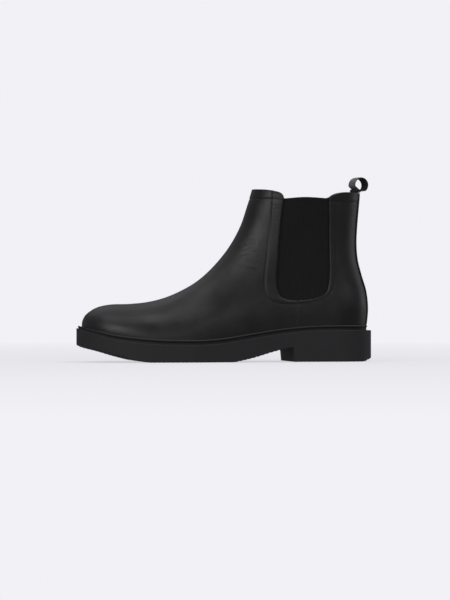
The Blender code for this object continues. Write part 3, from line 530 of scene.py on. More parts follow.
def shell_grids(outer, inner, outward):
    """The faces and rims of a closed shell between two grids of points."""
    opposite = tuple(-value for value in outward)
    rims = [np.stack([inner[0], outer[0]]), np.stack([inner[-1], outer[-1]]),
            np.stack([inner[:, 0], outer[:, 0]]), np.stack([inner[:, -1], outer[:, -1]])]
    middle = outer.mean((0, 1))
    return [(outer, outward), (inner, opposite), *((rim, rim.mean((0, 1)) - middle) for rim in rims)]


def coordinates(mesh):
    found = np.zeros(len(mesh.vertices) * 3, np.float32)
    mesh.vertices.foreach_get("co", found)
    return found.reshape(-1, 3).astype(float) / MM


def facings(mesh):
    found = np.zeros(len(mesh.vertices) * 3, np.float32)
    mesh.vertex_normals.foreach_get("vector", found)
    return found.reshape(-1, 3).astype(float)


def displace(mesh, amount):
    """Move each vertex along its normal by a number of millimetres of its own."""
    moved = (coordinates(mesh) + facings(mesh) * amount[:, None]) * MM
    mesh.vertices.foreach_set("co", moved.astype(np.float32).ravel())
    mesh.update()


def thicken(item, depth, thickness, bevel=0.0):
    """Make a layer whose outer face lies depth under the surface (over it where depth is negative)."""
    layer = item.modifiers.new("thickness", "SOLIDIFY")
    layer.thickness = thickness * MM
    layer.offset = -(1 + 2 * depth / thickness)
    layer.use_quality_normals = True
    if bevel:
        soften(item, bevel)


def soften(item, width, angle=math.radians(50.0), steps=2):
    """Round off the edges that turn by more than angle."""
    edges = item.modifiers.new("edges", "BEVEL")
    edges.width = width * MM
    edges.segments = steps
    edges.limit_method = "ANGLE"
    edges.angle_limit = angle
    edges.harden_normals = False


def coons(bottom, top, left, right):
    """Grid over the patch between four lines of points that meet at its corners."""
    u = ((lengths(bottom) + lengths(top)) / 2)[None, :, None]
    v = ((lengths(left) + lengths(right)) / 2)[:, None, None]
    sides = (1 - v) * bottom[None] + v * top[None] + (1 - u) * left[:, None] + u * right[:, None]
    corners = (1 - v) * ((1 - u) * bottom[0] + u * bottom[-1]) + v * ((1 - u) * top[0] + u * top[-1])
    return sides - corners


def on_skin(chart, side, clear_of_centre=0.0):
    """A side-view grid lifted on to the skin, kept clear of the centre plane where asked."""
    flat = chart.reshape(-1, 2)
    y = skin_y(flat, side)
    if clear_of_centre:
        y = side * np.maximum(side * y, clear_of_centre)
    points = np.column_stack([flat[:, 0], y, flat[:, 1]])
    return points.reshape(chart.shape[0], chart.shape[1], 3), (0.0, side, 0.0)


def opening_part(first, last, count, line=opening_line):
    """Points along the gusset opening between two of its named outline points."""
    per_span = (len(opening_line) - 1) // (len(OPENING) - 1)
    return spaced(line[first * per_span:last * per_span + 1], even(count))


def ridge_part(start_x, end_x, fractions):
    line = ridge_line[(ridge_line[:, 0] > start_x) & (ridge_line[:, 0] < end_x)]
    start = (start_x, ridge_z(start_x)) if start_x > TOE_TIP else RIDGE[0]
    end = (end_x, ridge_z(end_x)) if end_x < RIDGE[-1][0] else RIDGE[-1]
    return spaced(np.vstack([start, line, end]), fractions)


def vamp_charts(steps, lift):
    """Two side-view patches: the toe with the shaft's front, and the block under the gusset."""
    along, riser, edge, block, over = steps.values()
    foot_x = FRONT_RISER_X
    seam_gap = np.array([-SEAM_HALF_GAP, 0.0])
    corner = np.array(OPENING[FRONT_CORNER])
    foot = np.array([foot_x, feather_z(foot_x) + lift])
    riser_points = foot + (corner - foot) * even(riser)[:, None]
    bottom = np.vstack([feather_points(TOE_TIP, foot_x, ease(along, start=True), lift)[:-1],
                        riser_points[:-1],
                        opening_part(0, FRONT_CORNER, edge)[::-1]])
    top = np.vstack([ridge_part(TOE_TIP, RIDGE_BREAKS[0], ease(along, start=True))[:-1],
                     ridge_part(*RIDGE_BREAKS, even(riser))[:-1],
                     ridge_part(RIDGE_BREAKS[1], RIDGE[-1][0], even(edge))])
    nose = np.array([bottom[0], top[0]])
    left = spaced(nose, ease(over, end=True))
    right = spaced(smooth_line(FRONT_TAB), ease(over, end=True))
    seam_foot = np.array([SEAM_FOOT_X, feather_z(SEAM_FOOT_X) + lift]) + seam_gap
    seam_top = np.array(OPENING[SEAM_TOP]) + seam_gap
    seam = seam_foot + (seam_top - seam_foot) * even(riser)[:, None]
    under = opening_part(FRONT_CORNER, SEAM_TOP, block) + seam_gap * even(block)[:, None]
    foot_line = feather_points(foot_x, SEAM_FOOT_X - SEAM_HALF_GAP, even(block), lift)
    return [coons(bottom, top, left, right), coons(foot_line, under, riser_points, seam)]


def quarter_charts(steps, lift, side):
    """Two side-view patches: the block under the gusset, and the panel from there to the back seam."""
    riser, edge, block, across = steps.values()
    seam_gap = np.array([SEAM_HALF_GAP, 0.0])
    corner = np.array(OPENING[REAR_CORNER])
    foot = np.array([REAR_RISER_X, feather_z(REAR_RISER_X) + lift])
    riser_points = foot + (corner - foot) * even(riser)[:, None]
    seam_foot = np.array([SEAM_FOOT_X, feather_z(SEAM_FOOT_X) + lift]) + seam_gap
    seam_top = np.array(OPENING[SEAM_TOP]) + seam_gap
    seam = seam_foot + (seam_top - seam_foot) * even(riser)[:, None]
    under = opening_part(SEAM_TOP, REAR_CORNER, block) + seam_gap * even(block)[::-1][:, None]
    foot_line = feather_points(SEAM_FOOT_X + SEAM_HALF_GAP, REAR_RISER_X, even(block), lift)
    left = np.vstack([riser_points[:-1], opening_part(REAR_CORNER, len(OPENING) - 1, edge)])
    back_foot_z = feather_z(BACK[0][0]) + lift
    z = np.linspace(back_foot_z, BACK[-1][1], riser + edge + 1)
    right = np.column_stack([back_x(z), z])
    bottom = feather_points(REAR_RISER_X, right[0, 0], ease(across, end=True), lift)
    top = spaced(smooth_line(REAR_TAB[side]), ease(across, end=True))
    return [coons(foot_line, under, seam, riser_points), coons(bottom, top, left, right)]


def gusset_chart():
    """The elastic's outline: the opening with a hidden margin on three sides."""
    across, up = GUSSET_STEPS.values()
    line = opening_line + normals(opening_line) * GUSSET_MARGIN
    front = opening_part(0, FRONT_CORNER, up, line)[::-1]
    bottom = opening_part(FRONT_CORNER, REAR_CORNER, across, line)
    rear = opening_part(REAR_CORNER, len(OPENING) - 1, up, line)
    top_line = np.vstack([front[-1], smooth_line(GUSSET_TOP)[1:-1], rear[-1]])
    return coons(bottom, spaced(top_line, even(across)), front, rear)


# Finishes -----------------------------------------------------------------------------------------

def principled(name, colour, roughness, **sockets):
    made = bpy.data.materials.new(name)
    made.use_nodes = True
    tree = made.node_tree
    shader = tree.nodes["Principled BSDF"]
    shader.inputs["Base Color"].default_value = (*colour, 1.0)
    shader.inputs["Roughness"].default_value = roughness
    for socket, value in sockets.items():
        shader.inputs[socket.replace("_", " ")].default_value = value
    return made, tree, shader


def node(tree, kind, inputs=(), **settings):
    """A node of a kind, with its settings and its inputs: values, or other nodes' outputs."""
    made = tree.nodes.new("ShaderNode" + kind)
    for key, value in settings.items():
        setattr(made, key, value)
    for key, value in dict(inputs).items():
        if isinstance(value, bpy.types.NodeSocket):
            tree.links.new(value, made.inputs[key])
        else:
            made.inputs[key].default_value = value
    return made


def stretched_place(tree, stretch=(1.0, 1.0, 1.0)):
    """Places on the object in metres, scaled along its axes."""
    place = node(tree, "TexCoord").outputs["Object"]
    return node(tree, "Mapping", {"Vector": place, "Scale": stretch}).outputs["Vector"]


def noise(tree, place, size, detail=3.0):
    """Noise whose features are size millimetres across."""
    made = node(tree, "TexNoise", {"Vector": place, "Scale": 1 / (size * MM), "Detail": detail})
    return made.outputs["Fac"]


def ranged(tree, value, low, high, from_low=0.3, from_high=0.7):
    made = node(tree, "MapRange", {"Value": value, "From Min": from_low, "From Max": from_high,
                                   "To Min": low, "To Max": high})
    return made.outputs["Result"]


def mixed(tree, share, first, second):
    """A mix of two colours, each a value or another node's output."""
    made = node(tree, "Mix", {"Factor": share}, data_type="RGBA")
    sockets = {socket.identifier: socket for socket in made.inputs}
    for key, colour in (("A_Color", first), ("B_Color", second)):
        if isinstance(colour, bpy.types.NodeSocket):
            tree.links.new(colour, sockets[key])
        else:
            sockets[key].default_value = (*colour, 1.0)
    return next(socket for socket in made.outputs if socket.identifier == "Result_Color")


def reckoned(tree, operation, *values):
    """The result of a Math node on values or other nodes' outputs."""
    return node(tree, "Math", dict(enumerate(values)), operation=operation).outputs["Value"]


def bump(tree, height, relief_mm, below=None):
    inputs = {"Height": height, "Distance": relief_mm * MM, "Strength": 1.0}
    if below is not None:
        inputs["Normal"] = below
    return node(tree, "Bump", inputs).outputs["Normal"]


def worn(tree, colour_output, light):
    """Colour, a little lighter along the sharpest edges."""
    edge = node(tree, "NewGeometry").outputs["Pointiness"]
    return mixed(tree, ranged(tree, edge, 0.0, 0.5, 0.53, 0.62), colour_output, light)


def dress(tree, shader, colour, roughness, normal):
    """Link a finish's colour, roughness and normal to its shader."""
    for socket, output in (("Base Color", colour), ("Roughness", roughness), ("Normal", normal)):
        tree.links.new(output, shader.inputs[socket])


def grained_leather(name, dark, light, roughness, grain, depth, **sockets):
    """Smooth full-grain leather: fine cells and pores, with slow changes of tone and gloss."""
    made, tree, shader = principled(name, dark, roughness, **sockets)
    place = stretched_place(tree)
    cells = node(tree, "TexVoronoi", {"Vector": place, "Scale": 1 / (grain * MM)},
                 feature="DISTANCE_TO_EDGE").outputs["Distance"]
    cells = ranged(tree, cells, 0.0, 1.0, 0.0, 0.25)
    pores = noise(tree, place, grain * 0.4)
    cloud = noise(tree, place, 22.0)
    colour = mixed(tree, ranged(tree, cloud, 0.0, 1.0), dark, light)
    tree.links.new(worn(tree, colour, tuple(2.2 * c for c in light)), shader.inputs["Base Color"])
    gloss = reckoned(tree, "ADD", ranged(tree, cloud, roughness - 0.04, roughness + 0.05),
                     ranged(tree, pores, -0.03, 0.03))
    tree.links.new(gloss, shader.inputs["Roughness"])
    fine = bump(tree, pores, depth * 0.5)
    tree.links.new(bump(tree, cells, depth, fine), shader.inputs["Normal"])
    return made


def waves(tree, value, pitch, power=1.0):
    """A wave between 0 and 1 of a value, with a pitch in the value's own unit."""
    wave = reckoned(tree, "SINE", reckoned(tree, "MULTIPLY", value, 2 * math.pi / pitch))
    return ranged(tree, wave, 0.0, 1.0, -power, power)


def woven(name, dark, light, roughness, pitch, depth, **sockets):
    """Plain weave along the object's own height and length."""
    made, tree, shader = principled(name, dark, roughness, **sockets)
    axes = node(tree, "SeparateXYZ", {"Vector": stretched_place(tree)})
    weft = waves(tree, axes.outputs["Z"], pitch * MM)
    warp = waves(tree, axes.outputs["X"], pitch * MM)
    weave = reckoned(tree, "MULTIPLY", weft, warp)
    fibre = noise(tree, stretched_place(tree), pitch * 0.6)
    height = reckoned(tree, "ADD", weave, fibre)
    dress(tree, shader, mixed(tree, ranged(tree, height, 0.0, 1.0, 0.2, 1.4), dark, light),
          ranged(tree, fibre, roughness - 0.06, roughness + 0.06), bump(tree, height, depth))
    return made


def knitted_elastic(name, dark, light):
    """Matte ribbed elastic: fine cross threads, with fluff between the ribs."""
    made, tree, shader = principled(name, dark, 0.9, Specular_IOR_Level=0.2, Sheen_Weight=0.04)
    place = stretched_place(tree)
    axes = node(tree, "SeparateXYZ", {"Vector": place})
    threads = waves(tree, axes.outputs["Z"], 0.55 * MM)
    ribs = waves(tree, axes.outputs["X"], RIB_SPACING / 4 * MM)
    fluff = noise(tree, place, 0.5)
    height = reckoned(tree, "ADD", threads, ribs)
    share = reckoned(tree, "MULTIPLY", height, fluff)
    dress(tree, shader, mixed(tree, ranged(tree, share, 0.0, 1.0, 0.1, 1.1), dark, light),
          ranged(tree, fluff, 0.82, 0.96), bump(tree, height, 0.08, bump(tree, fluff, 0.06)))
    return made


def twill(name, dark, light, roughness, slant, **sockets):
    """Twill-woven webbing: slanting ridges that follow the band, and threads along it."""
    made, tree, shader = principled(name, dark, roughness, **sockets)
    along, across = (node(tree, "Attribute", attribute_name=word).outputs["Fac"]
                     for word in ("along", "across"))
    slanted = reckoned(tree, "MULTIPLY_ADD", across, slant, along)
    ridges = waves(tree, slanted, 1.5)
    threads = waves(tree, across, 0.5)
    fibre = noise(tree, stretched_place(tree), 0.5)
    height = reckoned(tree, "ADD", ridges, threads)
    share = reckoned(tree, "MULTIPLY", height, fibre)
    dress(tree, shader, mixed(tree, ranged(tree, share, 0.0, 1.0, 0.2, 1.2), dark, light),
          ranged(tree, fibre, roughness - 0.08, roughness + 0.08), bump(tree, height, 0.12))
    return made


def mottled(name, dark, light, roughness, size, depth, stretch=(1.0, 1.0, 1.0), **sockets):
    """Moulded, pressed or foamed stuff with an uneven surface of one feature size."""
    made, tree, shader = principled(name, dark, roughness, **sockets)
    place = stretched_place(tree, stretch)
    grain = noise(tree, place, size, 4.0)
    cloud = noise(tree, place, size * 25.0)
    share = reckoned(tree, "ADD", ranged(tree, grain, 0.0, 0.6), ranged(tree, cloud, 0.0, 0.4))
    dress(tree, shader, mixed(tree, share, dark, light),
          ranged(tree, cloud, roughness - 0.05, roughness + 0.05), bump(tree, grain, depth))
    return made


leather = grained_leather("black_leather", (0.0125, 0.0112, 0.0128), (0.0175, 0.0160, 0.0180),
                          0.36, 0.9, 0.035, Specular_IOR_Level=0.5)
sock = grained_leather("sock_leather", (0.020, 0.019, 0.020), (0.032, 0.030, 0.031), 0.5, 1.3, 0.05)
lining = woven("black_lining", (0.010, 0.010, 0.011), (0.028, 0.028, 0.030), 0.85, 0.9, 0.08)
elastic = knitted_elastic("black_elastic", (0.014, 0.014, 0.014), (0.031, 0.031, 0.031))
# The pull loop's webbing is one stuff in two tones: its outer face is painted light for the satin sheen on it,
# and its back is painted dark as its shaded side.
webbing_face_painted_sheen = twill("webbing_face_painted_sheen", (0.06, 0.058, 0.055), (0.30, 0.29, 0.27), 0.45, 1.0, Sheen_Weight=0.2)
webbing_back_painted_shade = twill("webbing_back_painted_shade", (0.004, 0.004, 0.005), (0.032, 0.032, 0.036), 0.7, -1.0,
                     Sheen_Weight=0.03)
thread = woven("black_thread", (0.008, 0.008, 0.009), (0.03, 0.03, 0.032), 0.5, 0.35, 0.05)
rubber = mottled("black_rubber", (0.026, 0.0257, 0.028), (0.038, 0.0373, 0.040), 0.62, 0.5, 0.04,
                 Specular_IOR_Level=0.35)
foam = mottled("latex_foam", (0.50, 0.44, 0.32), (0.66, 0.60, 0.46), 0.9, 0.8, 0.25)
CARRIED = {
    "toe_puff": mottled("puff_fibre", (0.42, 0.37, 0.29), (0.60, 0.55, 0.45), 0.85, 0.7, 0.1,
                        (1.0, 1.0, 4.0)),
    "heel_counter": mottled("counter_fibre", (0.40, 0.31, 0.20), (0.56, 0.45, 0.31), 0.8, 0.7, 0.1,
                            (4.0, 1.0, 1.0)),
    "insole_board": mottled("board_fibre", (0.33, 0.25, 0.16), (0.50, 0.40, 0.28), 0.85, 0.6, 0.08,
                            (1.0, 3.0, 1.0)),
    "filler": mottled("cork", (0.26, 0.15, 0.07), (0.56, 0.38, 0.20), 0.9, 1.6, 0.2),
    "shank": mottled("shank_steel", (0.40, 0.41, 0.43), (0.56, 0.57, 0.59), 0.35, 0.4, 0.02, (0.1, 3.0, 1.0),
                     Metallic=1.0),
    "shank_rivet_front": mottled("rivet_steel", (0.50, 0.50, 0.51), (0.64, 0.64, 0.66), 0.3, 0.4, 0.02,
                                 Metallic=1.0),
    "pull_loop_tails": woven("tails_webbing", (0.010, 0.010, 0.011), (0.040, 0.040, 0.044), 0.7, 1.0, 0.1),
}
CARRIED["shank_rivet_rear"] = CARRIED["shank_rivet_front"]


def finish_carried_nodes():
    for name, made in CARRIED.items():
        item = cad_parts[name]
        item.data.materials.clear()
        item.data.materials.append(made)


# Upper --------------------------------------------------------------------------------------------

def layer(name, charts_by_side, depth, thickness, finish, slot, bevel=0.0, clear_of_centre=0.0):
    """A thickened layer of the upper, with the leather's relief on the outermost layer only."""
    grids = [on_skin(chart, side, clear_of_centre)
             for side, charts in charts_by_side.items() for chart in charts]
    mesh = grid_mesh(name, grids)
    if depth == 0.0:
        flat = coordinates(mesh)[:, [0, 2]]
        displace(mesh, relief(flat) + (lap(flat) if name.startswith("vamp") else 0.0))
    piece = add_object(name, mesh, finish)
    thicken(piece, depth, thickness, bevel)
    return piece


def build_leather():
    vamp = vamp_charts(VAMP_STEPS, 0.0)
    piece = layer("vamp_leather", {LATERAL: vamp, MEDIAL: vamp}, 0.0, LEATHER, leather, "upper_leather",
                  EDGE_BEVEL)
    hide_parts("vamp")
    for side, word in SIDES.items():
        quarter = quarter_charts(QUARTER_STEPS, 0.0, side)
        piece = layer(f"quarter_{word}_leather", {side: quarter}, 0.0, LEATHER, leather, "upper_leather",
                      EDGE_BEVEL, SEAM_HALF_GAP)
        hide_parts("quarter_" + word)


def build_linings():
    vamp = vamp_charts(VAMP_LINING_STEPS, LINING_LIFT)
    charts = {"vamp_lining": {side: vamp for side in SIDES},
              "quarter_lining": {side: quarter_charts(QUARTER_LINING_STEPS, LINING_LIFT, side)
                                 for side in SIDES}}
    for name, both in charts.items():
        piece = layer(name + "_cloth", both, LINING_DEPTH, LINING_THICKNESS, lining, "lining", LINING_BEVEL)
        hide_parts(name)


def build_gussets():
    """Elastic with vertical ribs, finished along the top by a flat selvedge."""
    top = smooth_line(GUSSET_TOP)
    chart = gusset_chart()
    flat = chart.reshape(-1, 2)
    x, z = flat.T
    hem = smoothstep(SELVEDGE + z - np.interp(x, top[:, 0], top[:, 1]))
    ribs = (1 - hem) * RIB_RELIEF * np.cos(2 * math.pi * x / RIB_SPACING) + hem * SELVEDGE_RAISE
    for side, word in SIDES.items():
        points, facing = smooth_skin(flat, side)
        shape = *chart.shape[:2], 3
        outer = (points + facing * (ribs - GUSSET_DEPTH)[:, None]).reshape(shape)
        inner = (points - facing * (GUSSET_DEPTH + GUSSET_THICKNESS)).reshape(shape)
        mesh = grid_mesh("gusset", shell_grids(outer, inner, (0.0, side, 0.0)))
        mesh.set_sharp_from_angle(angle=math.radians(70.0))
        piece = add_object(f"gusset_{word}_elastic", mesh, elastic)
        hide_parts("gusset_" + word)


def top_strip(line):
    """Side-view patch just under a topline."""
    drop = np.array([0.0, -TOPLINE_DEPTH])
    rows = [line + drop * fraction for fraction in even(TOPLINE_ROWS)]
    return np.array(rows[::-1])


def build_topline():
    """The turned-over edge that closes the gap between leather and lining along the top."""
    front = spaced(smooth_line(FRONT_TAB), np.linspace(TOPLINE_FRONT_START, 1.0, TOPLINE_STEPS))
    rear = {}
    for side in SIDES:
        line = smooth_line(REAR_TAB[side])
        line = line[line[:, 0] < BACK[-1][0] - TOPLINE_CLEAR_OF_LOOP]
        rear[side] = [top_strip(spaced(line, np.linspace(TOPLINE_REAR_START, 1.0, TOPLINE_STEPS)))]
    depth, thickness = LEATHER + TOPLINE_SLACK, LINING_DEPTH - LEATHER - 2 * TOPLINE_SLACK
    charts = {"front": {side: [top_strip(front)] for side in SIDES},
              "rear_lateral": {LATERAL: rear[LATERAL]},
              "rear_medial": {MEDIAL: rear[MEDIAL]}}
    for name, charts_by_side in charts.items():
        layer("topline_" + name, charts_by_side, depth, thickness, leather, "upper_leather", TOPLINE_BEVEL)


def back_place(z, y):
    """Points of the smooth skin at the back, at heights z and places y across."""
    inward = np.linspace(0.0, BACK_PROBE_ROOT, BACK_PROBE_STEPS) ** 2
    found = []
    for height, across in zip(z, y):
        side = MEDIAL if across > 0 else LATERAL
        probe = np.column_stack([back_x(height) - inward, np.full_like(inward, height)])
        depth = np.interp(abs(across), side * skin_y(probe, side), inward)
        found.append((back_x(height) - depth, across, height))
    return np.array(found)


def strip_relief(y, from_ends):
    edge = np.minimum(STRIP_HALF_WIDTH - np.abs(y), from_ends)
    row = np.abs(np.abs(y) - STRIP_STITCH_Y)
    return STRIP_CROWN * smoothstep(edge / EDGE_ROLL) + groove(row, STITCH_GROOVE, STITCH_GROOVE_WIDTH)


def build_back_strip():
    low, high = sole_top(BACK[0][0]) + WELT_HEIGHT + GAP, BACK[-1][1]
    z, y = np.meshgrid(np.linspace(low, high, STRIP_STEPS["up"]),
                       np.linspace(-STRIP_HALF_WIDTH, STRIP_HALF_WIDTH, STRIP_STEPS["across"]), indexing="ij")
    band = back_place(z.ravel(), y.ravel()).reshape(*z.shape, 3)
    mesh = grid_mesh("back_strip", [(band, (1.0, 0.0, 0.0))])
    _, y, z = coordinates(mesh).T
    displace(mesh, strip_relief(y, np.minimum(high - z, z - low)))
    piece = add_object("back_strip_leather", mesh, leather)
    thicken(piece, -(GAP + STRIP_THICKNESS), STRIP_THICKNESS, EDGE_BEVEL)
    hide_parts("back_strip")


# Thread -------------------------------------------------------------------------------------------

def stitch_grids(line, facing):
    """Tube grids of a run of short stitches along a line that lies on a surface."""
    run = np.concatenate([[0.0], np.cumsum(np.linalg.norm(np.diff(line, axis=0), axis=1))])
    grids = []
    for start in np.arange(0.0, run[-1] - STITCH_LENGTH, STITCH_PITCH):
        t = even(STITCH_RINGS)
        at = start + t * STITCH_LENGTH
        middle = np.column_stack([np.interp(at, run, line[:, k]) for k in range(3)])
        up = np.column_stack([np.interp(at, run, facing[:, k]) for k in range(3)])
        ahead = np.gradient(middle, axis=0)
        beside = np.cross(ahead, up)
        beside /= np.linalg.norm(beside, axis=1)[:, None]
        swell = np.sin(math.pi * t)[:, None]
        middle = middle + up * THREAD_RADIUS * (THREAD_RISE * swell - THREAD_SINK)
        radius = THREAD_RADIUS * (THREAD_END + (1 - THREAD_END) * swell)
        ring = [middle + radius * (math.cos(a) * up + math.sin(a) * beside)
                for a in np.linspace(0, 2 * math.pi, STITCH_SIDES, endpoint=False)]
        grids.append(np.stack(ring, axis=1))
    return grids


def add_thread(name, rows):
    """One piece of thread for several rows of stitches."""
    points, faces = [], []
    for line, facing in rows:
        for grid in stitch_grids(line, facing):
            first = len(points) * grid.shape[0] * grid.shape[1]
            index = first + np.arange(grid.shape[0] * grid.shape[1]).reshape(grid.shape[:2])
            points.append(grid.reshape(-1, 3))
            around = np.roll(index, -1, axis=1)
            quads = np.stack([index[:-1], index[1:], around[1:], around[:-1]], axis=-1)
            faces += quads.reshape(-1, 4).tolist()
            faces += [index[0].tolist(), index[-1][::-1].tolist()]
    mesh = bpy.data.meshes.new(name)
    mesh.from_pydata(np.vstack(points) * MM, [], faces)
    mesh.shade_smooth()
    piece = add_object(name, mesh, thread)


def build_thread():
    low_band = band_line[band_line[:, 1] < FOLD_LINES[0][-1][1]]
    edge_row = opening_line + normals(opening_line) * EDGE_ROW
    edge_row = edge_row[edge_row[:, 1] < FOLD_LINES[0][-1][1]]
    front_x = np.linspace(FOLD_ROW_START_X, BAND[0][0], FOLD_ROW_STEPS[0])
    rear_x = np.linspace(BAND[-1][0], BACK[-1][0] - FOLD_ROW_END, FOLD_ROW_STEPS[1])
    folds = [np.column_stack([x, line(x)]) for x, line in zip((front_x, rear_x), fold_graphs)]
    seam_z = np.linspace(feather_z(SEAM_FOOT_X) + WELT_HEIGHT + SEAM_ROW_ENDS[0],
                         OPENING[SEAM_TOP][1] - SEAM_ROW_ENDS[1], SEAM_ROW_STEPS)
    seam = np.column_stack([np.full_like(seam_z, SEAM_FOOT_X - SEAM_ROW), seam_z])
    for side, word in SIDES.items():
        rows = [skin(line, side) for line in (low_band, edge_row, *folds)]
        points, facing = skin(seam, side)
        rows.append((points + facing * lap(seam)[:, None], facing))
        add_thread("thread_" + word, rows)
    low = sole_top(BACK[0][0]) + WELT_HEIGHT + STRIP_ROW_END
    high = BACK[-1][1] - STRIP_ROW_END
    z = np.linspace(low, high, STRIP_ROW_STEPS)
    rows = []
    for y in (-STRIP_STITCH_Y, STRIP_STITCH_Y):
        line = back_place(z, np.full_like(z, y))
        beside = back_place(z, np.full_like(z, y + math.copysign(BESIDE, -y)))
        facing = np.cross(np.gradient(line, axis=0), beside - line) * math.copysign(1.0, y)
        facing /= np.linalg.norm(facing, axis=1)[:, None]
        rows.append((line + facing * (GAP + STRIP_THICKNESS + STRIP_CROWN - STITCH_GROOVE), facing))
    add_thread("thread_back", rows)


# Pull loop ----------------------------------------------------------------------------------------

def loop_line():
    """The webbing's middle, in the plane of the loop, from one sewn end round to the other."""
    centre = np.array(LOOP_CENTRE) - np.array(LOOP_PIVOT)
    radius = LOOP_RADIUS - LOOP_THICKNESS / 2
    ring = [centre + radius * np.array([math.cos(a), math.sin(a)])
            for a in np.radians(np.arange(*LOOP_RING))]
    return smooth_line([*LOOP_START, *ring[::-1], *LOOP_END], 8)


def build_pull_loop():
    """A band of webbing, sewn in by both its ends, placed about the pivot at its sewn root."""
    line = loop_line()
    out = -normals(line)
    reach = lengths(line)
    t = np.linspace(0, 2 * math.pi, LOOP_SECTION_STEPS, endpoint=False)
    half = LOOP_WIDTH / 2
    across = half * np.sign(np.cos(t)) * np.abs(np.cos(t)) ** LOOP_SECTION_POWERS[0]
    through = LOOP_THICKNESS / 2 * np.sign(np.sin(t)) * np.abs(np.sin(t)) ** LOOP_SECTION_POWERS[1]
    ahead = np.array([math.cos(LOOP_TWIST), math.sin(LOOP_TWIST), 0.0])
    axis = np.array([math.sin(LOOP_TWIST), -math.cos(LOOP_TWIST), 0.0])
    up = np.array([0.0, 0.0, 1.0])
    pivot = np.array([LOOP_PIVOT[0], 0.0, LOOP_PIVOT[1]])
    plane = line[:, None, :] + out[:, None, :] * through[None, :, None]
    grid = pivot + plane[..., :1] * ahead + plane[..., 1:] * up + across[None, :, None] * axis
    mesh = grid_mesh("pull_loop", [(np.concatenate([grid, grid[:, :1]], axis=1), None)])
    close(mesh)
    points = coordinates(mesh) - pivot
    flat = np.column_stack([points @ ahead, points @ up])
    near = np.linalg.norm(flat[:, None] - line[None], axis=2).argmin(1)
    span = float(np.linalg.norm(np.diff(line, axis=0), axis=1).sum())
    for name, value in (("along", reach[near] * span), ("across", points @ axis)):
        mesh.attributes.new(name, "FLOAT", "POINT").data.foreach_set("value", value.astype(np.float32))
    # The outer face gets the webbing colour with painted sheen, the inner face the one with painted shade.
    outer = ((flat - line[near]) * out[near]).sum(1) > 0
    piece = add_object("pull_loop_webbing", mesh, webbing_back_painted_shade, None)
    mesh.materials.append(webbing_face_painted_sheen)
    for face in mesh.polygons:
        face.material_index = int(outer[list(face.vertices)].mean() > 0.5)
    heading = np.array(LOOP_CENTRE) - np.array(LOOP_PIVOT)
    heading = heading / np.linalg.norm(heading)
    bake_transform(piece)
    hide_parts("pull_loop")


# Sole unit ----------------------------------------------------------------------------------------

def ribbed(bottom, start_x, end_x):
    """Side view of a ribbed tread between two places, with flat-tipped ribs along the bottom curve."""
    points = [(start_x, bottom(start_x))]
    x = start_x + RIB_TIP
    while x + RIB_PITCH < end_x:
        groove_end = x + RIB_PITCH - RIB_TIP
        points += [(x, bottom(x)), (x + RIB_SLOPE, bottom(x) + RIB_DEPTH)]
        points += [(groove_end - RIB_SLOPE, bottom(groove_end) + RIB_DEPTH)]
        points += [(groove_end, bottom(groove_end))]
        x += RIB_PITCH
    return points + [(end_x, bottom(end_x))]


def heel_bottom(x):
    return np.interp(x, *np.array(HEEL_BOTTOM).T)


def plan_sides(stand):
    """Functions of x for the outer and inner edge of the plan outline, moved outwards by stand."""
    line = offset_outline(stand)
    half = len(line) // 2
    outer = line[:half + 1]
    inner = np.vstack([line[half:], line[:1]])[::-1]
    ends = max(outer[:, 0].min(), inner[:, 0].min()), min(outer[:, 0].max(), inner[:, 0].max())
    sides = [lambda x, edge=edge: np.interp(x, edge[:, 0], edge[:, 1]) for edge in (outer, inner)]
    return sides, ends


def build_outsole():
    """Cross-sections with rounded corners, one at each corner of the tread and of the plan's bends."""
    stand = sole_stand(outline()[:, 0])
    toe, heel = plan_sides(stand)[1]
    tread = np.array(ribbed(forepart_bottom, toe, FOREPART_BOTTOM[-1][0])
                     + ribbed(heel_bottom, HEEL_BOTTOM[0][0], heel))
    plan_x = toe + (heel - toe) * ease(SOLE_STEPS, True, True, softness=PLAN_EASE)
    x = np.unique(np.round(np.concatenate([plan_x, tread[:, 0]]), 3))
    low, high = np.interp(x, *tread.T), sole_top(x)
    angles = np.linspace(0.0, math.pi / 2, SOLE_CORNER_STEPS + 1)
    turn = [(SOLE_ROUND * (1 - math.cos(a)), SOLE_ROUND * (1 - math.sin(a))) for a in angles]
    corner = [(0.0, SOLE_SUPPORT), *turn, (SOLE_SUPPORT, 0.0)]
    rows = []
    for side in (0, 1):
        upward = [(inset, low + lift) for inset, lift in corner[::-1]]
        upward += [(inset, high - drop) for inset, drop in corner]
        for inset, z in upward if side == 0 else upward[::-1]:
            rows.append(np.column_stack([x, plan_sides(stand - inset)[0][side](x), z]))
    rows.append(rows[0])
    mesh = grid_mesh("outsole_rubber", [(np.array(rows), None)])
    close(mesh, SHORTEST_EDGE)
    mesh.set_sharp_from_angle(angle=CREASE_ANGLE)
    piece = add_object("outsole_rubber", mesh, rubber)
    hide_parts("outsole")


